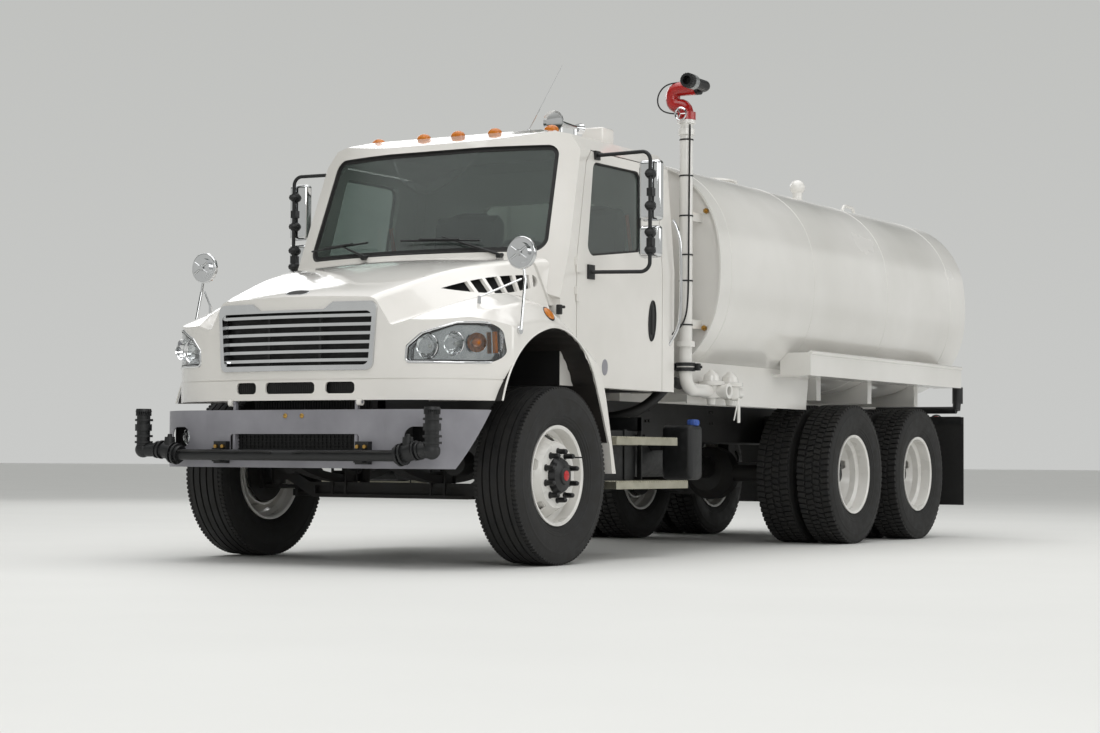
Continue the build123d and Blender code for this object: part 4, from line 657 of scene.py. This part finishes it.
def keep(form, wanted):
    """Leaves only the faces of a form that pass a test."""
    bmesh.ops.delete(form, geom=[face for face in form.faces if not wanted(face)], context="FACES")


keep(lens_form, faces_out)
keep(house_form, lambda face: not faces_out(face))


def rim_chains(form, wires=False):
    """The rims of a form, or its loose edges, as closed chains of (point, normal)."""
    form.edges.index_update()
    loose = {edge for edge in form.edges if wires or len(edge.link_faces) == 1}
    chains = []
    while loose:
        edge = min(loose, key=lambda e: e.index)
        loose.discard(edge)
        chain = [edge.verts[0], edge.verts[1]]
        while True:
            following = next((e for e in chain[-1].link_edges if e in loose), None)
            if following is None:
                break
            loose.discard(following)
            chain.append(following.other_vert(chain[-1]))
        if chain[0] == chain[-1]:
            chain.pop()
        chains.append([(vert.co.copy(), vert.normal.copy()) for vert in chain])
    return chains


edge_loops = rim_chains(lens_form)
lens = place("headlamp_lenses", lens_form, clear_lens, "hood", 40)
thicken(lens, 0.0025)
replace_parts(lens, "headlamps")
place("headlamp_housings", house_form, housing_chrome, "hood", 40)


def seal(name, rim, width, lift, body):
    """A flat black border that runs inward from a rim over the glass."""
    centre = sum((spot for spot, normal in rim), Vector()) / len(rim)
    overlap = 0.004
    points, shifts = [], []
    for n, (spot, normal) in enumerate(rim):
        along = rim[(n + 1) % len(rim)][0] - rim[n - 1][0]
        inward = along.cross(normal).normalized()
        if inward.dot(centre - spot) < 0:
            inward = -inward
        points.append(spot + normal * lift - inward * overlap)
        shifts.append(inward * (width + overlap))
    form = bmesh.new()
    ribbon(form, points, shifts, True)
    thicken(place(name, form, rubber, body), 0.003)


lens_rims = sorted((rim for rim in edge_loops if len(rim) > 20), key=len)[-2:]
for n, rim in enumerate(lens_rims):
    wire(f"headlamp_bezel_{n}", [spot for spot, normal in rim[::2]], 0.008, chrome, "hood", closed=True)
    seal(f"headlamp_border_{n}", rim[::2], 0.014, 0.001, "hood")
for name, side in sides:
    bowls = bmesh.new()
    bulbs = bmesh.new()
    for x, y, z, r in ((852, -850, 1262, 0.066), (985, -778, 1278, 0.062)):
        spot = at(x * side, y, z)
        dish = [(-0.048, r), (-0.040, r * 0.93), (-0.026, r * 0.75), (-0.010, r * 0.45), (-0.002, 0.012), (0, 0)]
        turned(bowls, dish, spot, rearward, 40)
        turned(bowls, [(-0.048, r), (-0.051, r + 0.004), (-0.046, r + 0.007)], spot, rearward, 40)
        turned(bulbs, [(-0.001, 0.010), (-0.024, 0.011), (-0.031, 0.007), (-0.033, 0)], spot, rearward, 20)
    place("headlamp_bulbs_" + name, bulbs, bulb_glass, "hood")
    signal = bmesh.new()
    spot = at(1055 * side, -690, 1285)
    back = Vector((-0.5 * side, 0.86, 0)).normalized()
    turned(bowls, [(-0.046, 0.056), (-0.040, 0.053), (-0.024, 0.042), (-0.008, 0.024), (0, 0.010), (0, 0)],
           spot, back, 40)
    turned(signal, [(-0.001, 0.024), (-0.030, 0.026), (-0.044, 0.016), (-0.048, 0)], spot, back, 28)
    bar(signal, at(1136 * side, -622, 1228), at(1132 * side, -628, 1350), 0.015, sides=20)
    place("headlamp_bowls_" + name, bowls, chrome, "hood")
    place("headlamp_signal_" + name, signal, amber, "hood")


# Fender mirrors: round convex glass in chromed shells, each on a bent post and a thin strut.
# A small bracket crosses the back of each shell where the post is clamped.
coat(chrome, "fender_mirrors")
for name, side in sides:
    cross = bmesh.new()
    spot = at(1175 * side, -446, 1817)
    for turn in (0.6, -0.6):
        arm = Vector((cos(turn), 0, sin(turn))) * 0.062
        bar(cross, spot - arm, spot + arm, 0.005, sides=12)
    turned(cross, [(0.0, 0.018), (-0.008, 0.016), (-0.01, 0)], spot, rearward, 24)
    place("fender_mirror_bracket_" + name, cross, chrome, "hood")
    glass = bmesh.new()
    spot = at(1175 * side, -393, 1817)
    turned(glass, [(0.0, 0.088), (0.003, 0.07), (0.007, 0.04), (0.009, 0)], spot, rearward, 40)
    place("fender_mirror_glass_" + name, glass, housing_chrome, "hood")


# Cab: welded steel panels in the same white enamel, with bonded glass in black rubber seals.
# Amber markers, a chrome trumpet horn and a whip aerial stand on the roof.
up = Vector((0, 0, 1))
wall_top, wall_back = at(0, 0, 1470), at(0, 420, 0)
cab = skin("cab_shell", white_enamel, "chassis", cuts=((wall_top, up), (wall_back, rearward)))
# The front wall under the hood and the low faces that look down take the black paint as painted shade, behind the hood
# and under the cab.
cab.data.materials.append(chassis_black_and_shade)
for face in cab.data.polygons:
    firewall_shade = face.center.z < wall_top.z and face.center.y < wall_back.y and face.normal.y < -0.2
    face.material_index = int(firewall_shade or (face.center.z < 1.15 and face.normal.z < -0.5))
# Laminated glass with a green-grey tint: it darkens what is behind and mirrors the sky.
tinted = paint("tinted_safety_glass", "A9B5B0", "B4BFBB", 2.0, 0.01, 0.02, Transmission_Weight=0.92, IOR=1.5)
coat(tinted, "cab_glass", "door_glass_left", "door_glass_right")


def outer_rims(node, way, share=0.5):
    """The closed rims of a node's faces that look one way, as lists of (point, normal)."""
    form = merged(node)
    form.normal_update()
    keep(form, lambda face: face.normal.dot(way) >= share)
    form.normal_update()
    rims = rim_chains(form)
    form.free()
    return [rim for rim in rims if len(rim) > 8]


def length(rim):
    """The way round a rim."""
    return sum((rim[n][0] - rim[n - 1][0]).length for n in range(len(rim)))


for name, way in (("windscreen", Vector((0, -0.93, 0.36))), ("rear_window", rearward)):
    rim = max(outer_rims("cab_glass", way, 0.7), key=length)
    wire(name + "_seal", [spot + normal * 0.004 for spot, normal in rim], 0.011, rubber, closed=True, order=2)
    if name == "windscreen":
        seal("windscreen_border", rim, 0.034, 0.0025, "chassis")
for name, side in sides:
    rim = max(outer_rims("door_glass_" + name, Vector((side, 0, 0.08))), key=len)
    wire(f"door_window_seal_{name}", [spot + normal * 0.003 for spot, normal in rim], 0.012, rubber, "door_" + name,
         closed=True, order=2)
    skin("door_" + name, white_enamel, "door_" + name)
    x = 1030 * side
    turn = Matrix.Rotation(radians(-4), 4, "X") @ Matrix.Rotation(radians(90), 4, "Y")
    handle = bmesh.new()
    disc(handle, Matrix.Translation(at(x, 1453, 1532)) @ turn, (0.262, 0.092, 0.006))
    brick(handle, at(x - 13, 1436, 1440), at(x + 13, 1466, 1640), 0.010, 3)
    place("door_handle_" + name, handle, powder_black, "door_" + name, slot="dark_plastic")
    angles = [2 * pi * n / 28 for n in range(28)]
    oval = [at(x + 3 * side, 1453 + 45 * cos(angle) + 9 * sin(angle), 1532 + 130 * sin(angle)) for angle in angles]
    wire("door_handle_rim_" + name, oval, 0.006, powder_black, "door_" + name, "dark_plastic", True)
    plate = bmesh.new()
    disc(plate, Matrix.Translation(at(1031 * side, 830, 1205)) @ turn, (0.105, 0.075, 0.004), 0.47, 40)
    place("blank_door_plate_" + name, plate, bumper_grey, "door_" + name)
    rail = [at(x + out * side, y, z) for out, y, z in ((10, 1722, 2215), (58, 1730, 2150), (62, 1742, 1900),
                                                       (60, 1742, 1620), (50, 1730, 1480), (-8, 1700, 1385))]
    wire("cab_grab_rail_" + name, rail, 0.011, chrome)
wipers = ((at(637, 206, 1880), at(229, 178, 2007), at(-72, 164, 1992), at(491, 207, 1974)),
          (at(-343, 150, 1903), at(-595, 235, 1989), at(-890, 330, 1972), at(-330, 168, 1992)))
for n, (pivot, elbow, first, last) in enumerate(wipers):
    form = bmesh.new()
    bar(form, pivot, elbow, 0.009, 0.005, 12)
    bar(form, first, last, 0.006, sides=10)
    lift = Vector((0, -0.012, 0.006))
    bar(form, first.lerp(last, 0.25) + lift, first.lerp(last, 0.75) + lift, 0.006, sides=10)
    bar(form, pivot + Vector((0, -0.02, -0.01)), pivot + Vector((0, 0.05, 0.0)), 0.016, sides=20)
    place(f"wiper_{n}", form, powder_black)
marker_spots = ((0, 700), (275, 713), (-275, 713), (670, 760), (-670, 760))
marker_size = Matrix.Diagonal((0.052, 0.034, 0.036, 1))
fittings = bmesh.new()
for x, y in marker_spots:
    bmesh.ops.create_uvsphere(fittings, u_segments=32, v_segments=16, radius=1,
                              matrix=Matrix.Translation(at(x, y, 2716)) @ marker_size)
marker = place("roof_markers", fittings, amber, angle=60)
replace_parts(marker, "roof_fittings")
fittings = bmesh.new()
for x, y in marker_spots:
    brick(fittings, at(x - 50, y - 30, 2688), at(x + 50, y + 36, 2712), 0.008)
place("roof_marker_bases", fittings, white_enamel)
horn = bmesh.new()
flare = [(0.0, 0.001), (0.0, 0.060), (-0.008, 0.074), (-0.014, 0.074), (0.01, 0.05), (0.05, 0.030), (0.12, 0.020),
         (0.22, 0.015), (0.34, 0.013), (0.345, 0.0)]
turned(horn, flare, at(600, 912, 2795), rearward, 48)
bar(horn, at(600, 1180, 2715), at(600, 1180, 2790), 0.012)
bar(horn, at(600, 1000, 2715), at(600, 1000, 2785), 0.010)
turned(horn, [(-0.005, 0.0), (-0.005, 0.026), (0.04, 0.036), (0.05, 0.030), (0.05, 0.0)], at(600, 1210, 2795),
       rearward, 36)
place("roof_horn", horn, chrome)
form = bmesh.new()
brick(form, at(520, 1400, 2715), at(680, 1560, 2825), 0.012, 3)
place("roof_box", form, white_enamel)
form = bmesh.new()
bar(form, at(430, 880, 2715), at(430, 880, 2755), 0.016, 0.011, 20)
bar(form, at(430, 880, 2750), at(648, 930, 3160), 0.003, 0.0015, 10)
place("aerial", form, chrome)


# Door mirrors: black powder-coated tube frames with black clamps, and two chromed heads each.
# The heads hold a tall flat glass and a small round-cornered convex one, facing rearward.
def in_head(face):
    """Whether a face of the mirror is on one of its two heads."""
    spot = face.calc_center_median()
    y, z = spot.y * 1000 + origin_station, spot.z * 1000
    return 780 < y < 866 and (1876 < z < 2086 or 2106 < z < 2494) and abs(abs(spot.x) - 1.36) < 0.079


for name, side in sides:
    node = "door_mirror_" + name
    coat(chrome, node)
    tubes = merged(node)
    heads = tubes.copy()
    keep(tubes, lambda face: not in_head(face))
    keep(heads, in_head)
    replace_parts(place("mirror_frame_" + name, tubes, powder_black, "door_" + name, 30), node)
    place("mirror_heads_" + name, heads, chrome, "door_" + name, 30)
    clamps = bmesh.new()
    for z in (2400, 2200, 2035, 1925):
        turned(clamps, [(0.016, 0), (0.016, 0.030), (0.0, 0.036), (-0.016, 0.030), (-0.016, 0)],
               at(1380 * side, 770, z), up, 24)
        bar(clamps, at(1380 * side, 762, z), at(1372 * side, 800, z), 0.030, 0.038, 24)
    place("mirror_clamps_" + name, clamps, powder_black, "door_" + name)
    glass = bmesh.new()
    for low, high in ((1905, 2055), (2135, 2465)):
        brick(glass, at(1304 * side, 855, low), at(1416 * side, 864, high), 0.003)
    place("mirror_glass_" + name, glass, housing_chrome, "door_" + name)


# Inside the cab: a moulded dash and column, a rim bound in soft plastic, and seats of dark woven cloth over foam.
# Each seat is a padded cushion and back on a steel pedestal, with an orange webbing belt.
# Grained plastic is dull; woven cloth has a soft sheenless nap; webbing is bright with a coarse weave.
trim_dark = paint("grained_dark_plastic", "1E1F20", "2A2B2C", 12.0, 0.5, 0.7, 900, 0.0004)
cloth_dark = paint("dark_woven_seat_cloth", "2A2B2E", "3A3B3F", 60.0, 0.8, 0.95, 1500, 0.0006, slot="grey_fabric")
belt_orange = paint("orange_webbing", "C8501C", "DE6526", 90.0, 0.6, 0.8, 1200, 0.0004, slot="grey_fabric")
coat(trim_dark, "dashboard", "steering_wheel", "seats")
seat_x = 480
for name, side in sides:
    for part, half, front, back, foot, head, tilt in (("cushion", 262, 975, 1470, 1452, 1592, 3),
                                                      ("back", 250, 1478, 1610, 1560, 2180, -9),
                                                      ("headrest", 140, 1560, 1650, 2170, 2330, -9)):
        pad = bmesh.new()
        turn = Matrix.Rotation(radians(tilt), 4, "X")
        brick(pad, at(seat_x * side - half, front, foot), at(seat_x * side + half, back, head), 0.035, 2, turn)
        seat = place(f"seat_{part}_{name}", pad, cloth_dark, angle=80)
        rounding = seat.modifiers.new("rounding", "SUBSURF")
        rounding.levels = rounding.render_levels = 2
    belt = bmesh.new()
    turn = Matrix.Rotation(radians(14), 4, "X")
    brick(belt, at(930 * side - 3, 1290, 1975), at(930 * side + 3, 1330, 2216), 0.001, 1, turn)
    place("seat_belt_" + name, belt, belt_orange)


# Steps and side tanks: folded aluminium treads with toothed edges on black steel hangers,
# and round-cornered fuel and air tanks in black paint, held by steel straps.
# Bare rolled aluminium: a warm, even metal with blurred reflections.
tread_alloy = paint("bright_aluminium_tread", "A8A594", "BBB8A8", 14.0, 0.28, 0.42, 700, 0.00006, Metallic=0.9,
                    slot="bare_aluminium")
coat(tread_alloy, "steps")
coat(powder_black, "side_tanks")
tooth_gap = 30
for name, side in sides:
    teeth = bmesh.new()
    for start, end, z in ((745, 1560, 768), (745, 1711, 490)):
        for n in range(int((end - start) / tooth_gap)):
            y = start + tooth_gap / 2 + tooth_gap * n
            for x in (930, 975, 1020, 1065, 1110):
                x += 15 * (n % 2)
                bar(teeth, at(x * side, y, z - 1), at(x * side, y, z + 4), 0.010, 0.007, 8)
            bar(teeth, at(1163 * side, y, z - 3), at(1170 * side, y, z + 3), 0.009, 0.004, 6)
    place("step_teeth_" + name, teeth, tread_alloy)
    hangers = bmesh.new()
    for stations, depth, plates in (
            ((788, 1498), 16, ((898, 932, 440, 905, 0.003, 2), (440, 932, 812, 905, 0.003, 2),
                               (932, 1150, 452, 480, 0.003, 2))),
            ((880, 1330), 40, ((512, 900, 474, 480, 0.002, 1), (892, 899, 476, 818, 0.002, 1),
                               (512, 896, 816, 823, 0.002, 1)))):
        for y in stations:
            for inner, outer, foot, head, corner, steps in plates:
                brick(hangers, at(inner * side, y, foot), at(outer * side, y + depth, head), corner, steps)
    place("step_hangers_" + name, hangers, powder_black)


# Additive tank: a blow-moulded upright tank in black plastic behind the steps, on a bracket off the frame.
# Its moulded cap screws on at the top: plain blue, half glossy, with ribs for the grip.
blue_cap = paint("blue_moulded_cap", "2F4F9A", "3F63B4", 20.0, 0.3, 0.45)
form = bmesh.new()
brick(form, at(872, 1880, 493), at(1102, 2060, 862), 0.035, 4)
brick(form, at(700, 1940, 690), at(880, 1985, 730), 0.004)
place("additive_tank", form, powder_black, slot="dark_plastic")
form = bmesh.new()
turned(form, [(-0.004, 0.0), (-0.004, 0.034), (0.0, 0.038), (0.030, 0.038), (0.036, 0.033), (0.037, 0.0)],
       at(1060, 1990, 862), up, 28)
for spot in circle(at(1060, 1990, 866), "XY", 0.037, 12):
    bar(form, spot, spot + up * 0.026, 0.005, sides=8)
place("additive_tank_cap", form, blue_cap)


# Tank: rolled and welded steel plate with a dished head each end, in white enamel, on folded sills.
# Seam welds ring the barrel, and brass plugs close the openings in the front head.
# The same white, sprayed on plate: a little softer and cloudier than the cab's.
tank_enamel = paint("white_tank_enamel", "DEDCD7", "E9E7E3", 1.2, 0.16, 0.28, 500, 0.0001, Coat_Weight=0.6,
                    Coat_Roughness=0.1, slot="white_paint")
skin("tank", tank_enamel, "chassis")
coat(tank_enamel, "tank_saddles", "side_trays", "side_pipework", "top_fittings", "manhole_lid", "rear_ladder")
for n, y in enumerate((2240, 3610, 5010, 6380)):
    form = merged("tank")
    bmesh.ops.bisect_plane(form, geom=form.verts[:] + form.edges[:] + form.faces[:], plane_co=at(0, y, 0),
                           plane_no=rearward, clear_inner=True, clear_outer=True)
    chain = max(rim_chains(form, True), key=len)
    form.free()
    wire(f"tank_seam_{n}", [spot for spot, normal in chain], 0.002, tank_enamel, closed=True, order=2)
plugs = bmesh.new()
for x, z in ((1103, 2311), (1092, 1518)):
    for side in (1, -1):
        bar(plugs, at(x * side, 2090, z), at(x * side, 2070, z), 0.020, 0.018, 6)
        bar(plugs, at(x * side, 2074, z), at(x * side, 2058, z), 0.009, sides=6)
place("tank_head_plugs", plugs, brass)


# Pipework: welded steel pipe in white enamel from the pump to the monitor, strapped with black bands.
# A bolted coupling joins the riser, a control cable follows it, and two valves have lever handles.
riser_x, riser_y = 1052, 1889
straps = bmesh.new()
for z in (2772, 2529, 1998, 1824, 2260, 1529):
    turned(straps, [(-0.005, 0.0435), (-0.005, 0.0475), (0.005, 0.0475), (0.005, 0.0435)], at(riser_x, riser_y, z),
           up, 40)
for z in (1232, 1264):
    turned(straps, [(-0.012, 0.044), (-0.012, 0.066), (0.012, 0.066), (0.012, 0.044)], at(riser_x, riser_y, z), up, 40)
for spot in circle(at(riser_x, riser_y, 1248), "XY", 0.080, 2, 0.4):
    brick(straps, spot - Vector((0.018, 0.018, 0.024)), spot + Vector((0.018, 0.018, 0.024)), 0.005)
    bar(straps, spot + Vector((-0.03, -0.012, 0)), spot + Vector((0.03, 0.012, 0)), 0.009, sides=6)
place("riser_straps", straps, powder_black)


def route(*spots):
    """The points of a pipe or hose, each given in millimetres."""
    return [at(*spot) for spot in spots]


wire("riser_cable", route((1098, 1850, 2870), (1096, 1846, 2400), (1094, 1846, 2000), (1096, 1840, 1700),
                          (1086, 1820, 1560), (1050, 1770, 1480), (1010, 1712, 1440)),
     0.006, hose_black)
valve_stations, valve_z = (2275, 2560), 1098
levers = bmesh.new()
for y in valve_stations:
    bar(levers, at(riser_x, y, 1140), at(riser_x, y, 1206), 0.034, 0.010, 28)
    for dy in (-48, 48):
        for spot in circle(at(riser_x, y + dy, valve_z), "XZ", 0.042, 6):
            bar(levers, spot - rearward * 0.006, spot + rearward * 0.006, 0.008, sides=6)
brick(levers, at(1142, 2486, 884), at(1154, 2518, 1056), 0.003)
bar(levers, at(1100, 2502, 1046), at(1150, 2502, 1046), 0.009, sides=16)
bar(levers, at(1148, 2488, 1030), at(1146, 2432, 900), 0.005, sides=10)
place("valve_levers", levers, tank_enamel)
# A thin black disc in the outlet's open end: painted shade for the dark inside of the pipe.
outlet_shade = bmesh.new()
bar(outlet_shade, at(1122, 2279, valve_z), at(1127, 2279, valve_z), 0.0305, sides=32)
place("outlet_painted_shade", outlet_shade, mesh_black_and_shade)
wire("suction_hose", route((445, 1540, 905), (600, 1580, 895), (760, 1650, 930), (850, 1740, 990), (925, 1800, 1090),
                           (950, 1880, 1150), (930, 1990, 1150), (900, 2095, 1140)),
     0.036, hose_black)


# Monitor: a cast iron swivel body in red enamel with a chromed handwheel and a wire guard,
# and a black moulded nozzle on it with a pale barrel and a ribbed grip.
# Enamel over a cast skin: strong red, glossy but uneven. The anodised barrel is pale and satin.
red_enamel = paint("red_enamel", "9E1412", "B51C18", 8.0, 0.22, 0.38, 260, 0.0006, Coat_Weight=0.4, slot="red_paint")
pale_alloy = paint("hard_anodised_barrel", "9A9C9C", "B0B2B2", 20.0, 0.3, 0.45, Metallic=0.8, slot="bare_aluminium")
coat(red_enamel, "monitor_body")
coat(powder_black, "monitor_nozzle")
wire("monitor_casting", route((riser_x, riser_y, 2935), (riser_x, riser_y, 3004), (950, riser_y, 3004),
                              (948, riser_y, 3119), (1060, riser_y, 3120), (1100, riser_y, 3120)),
     0.049, red_enamel, "monitor_body")
wire("monitor_guard", route((1020, 1850, 2945), (930, 1842, 2950), (858, 1846, 3000), (848, 1852, 3080),
                            (900, 1860, 3150), (990, 1872, 3164), (1060, 1880, 3162)),
     0.005, powder_black, "monitor_body")
swivel = bmesh.new()
for z in (2922, 2952):
    turned(swivel, [(-0.004, 0.050), (-0.004, 0.061), (0.004, 0.061), (0.004, 0.050)], at(riser_x, riser_y, z), up, 40)
wheel_centre = at(riser_x, 1800, 2937)
bar(swivel, at(riser_x, 1850, 2937), wheel_centre, 0.014, sides=20)
place("monitor_swivel_rings", swivel, red_enamel, "monitor_body")
handwheel = bmesh.new()
turned(handwheel, [(-0.006, 0.040), (0, 0.047), (0.006, 0.040), (0, 0.034), (-0.006, 0.040)], wheel_centre,
       rearward, 40)
for spot in circle(wheel_centre, "XZ", 0.038, 3):
    bar(handwheel, wheel_centre, spot, 0.004, sides=8)
place("monitor_handwheel", handwheel, chrome, "monitor_body")
nozzle_x, nozzle_z = riser_x + 75 + 78, 2905 + 215 + 0.5
barrel = bmesh.new()
turned(barrel, [(0, 0.0465), (0, 0.0495), (0.052, 0.0495), (0.052, 0.0465)], at(nozzle_x, 1690, nozzle_z),
       -rearward, 40)
place("nozzle_barrel", barrel, pale_alloy, "monitor_nozzle")
grip = bmesh.new()
for spot in circle(at(nozzle_x, 1632, nozzle_z), "XZ", 0.0458, 18):
    bar(grip, spot, spot - rearward * 0.038, 0.0045, sides=8)
place("nozzle_grip", grip, powder_black, "monitor_nozzle")


# Tail: welded ladder and spray pipe, hanging flaps of thick black rubber and three round red lamps on each side.
# The lamps have moulded red lenses in rubber rings, and the flaps hang from a steel strip.
coat(powder_black, "rear_spray_bar")
coat(rubber, "mud_flaps")
# A glossy red lens that lets a little light in.
red_lens = paint("red_lamp_lens", "A51A18", "BE2622", 25.0, 0.1, 0.2, Transmission_Weight=0.3, IOR=1.5)
tail_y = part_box("rear_beam")[1][1] * 1000 + origin_station
lamps = bmesh.new()
rings = bmesh.new()
for side in (1, -1):
    for x in (700, 830, 960):
        spot = at(x * side, tail_y, 968)
        turned(lamps, [(0, 0.050), (0.010, 0.048), (0.016, 0.03), (0.018, 0)], spot, rearward, 32)
        turned(rings, [(0, 0.062), (0.008, 0.060), (0.010, 0.054), (0.004, 0.051)], spot, rearward, 32)
place("tail_lamps", lamps, red_lens)
place("tail_lamp_rings", rings, rubber)
strip = bmesh.new()
flap_low, flap_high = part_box("mud_flaps")
for side in (1, -1):
    brick(strip, Vector((0.63 * side, flap_low[1] - 0.006, flap_high[2] - 0.06)),
          Vector((1.215 * side, flap_high[1] + 0.006, flap_high[2] - 0.02)), 0.002, 1)
    for n in range(6):
        spot = Vector(((0.68 + 0.096 * n) * side, flap_high[1] + 0.004, flap_high[2] - 0.04))
        bar(strip, spot, spot + rearward * 0.010, 0.009, sides=6)
place("flap_strips", strip, powder_black)
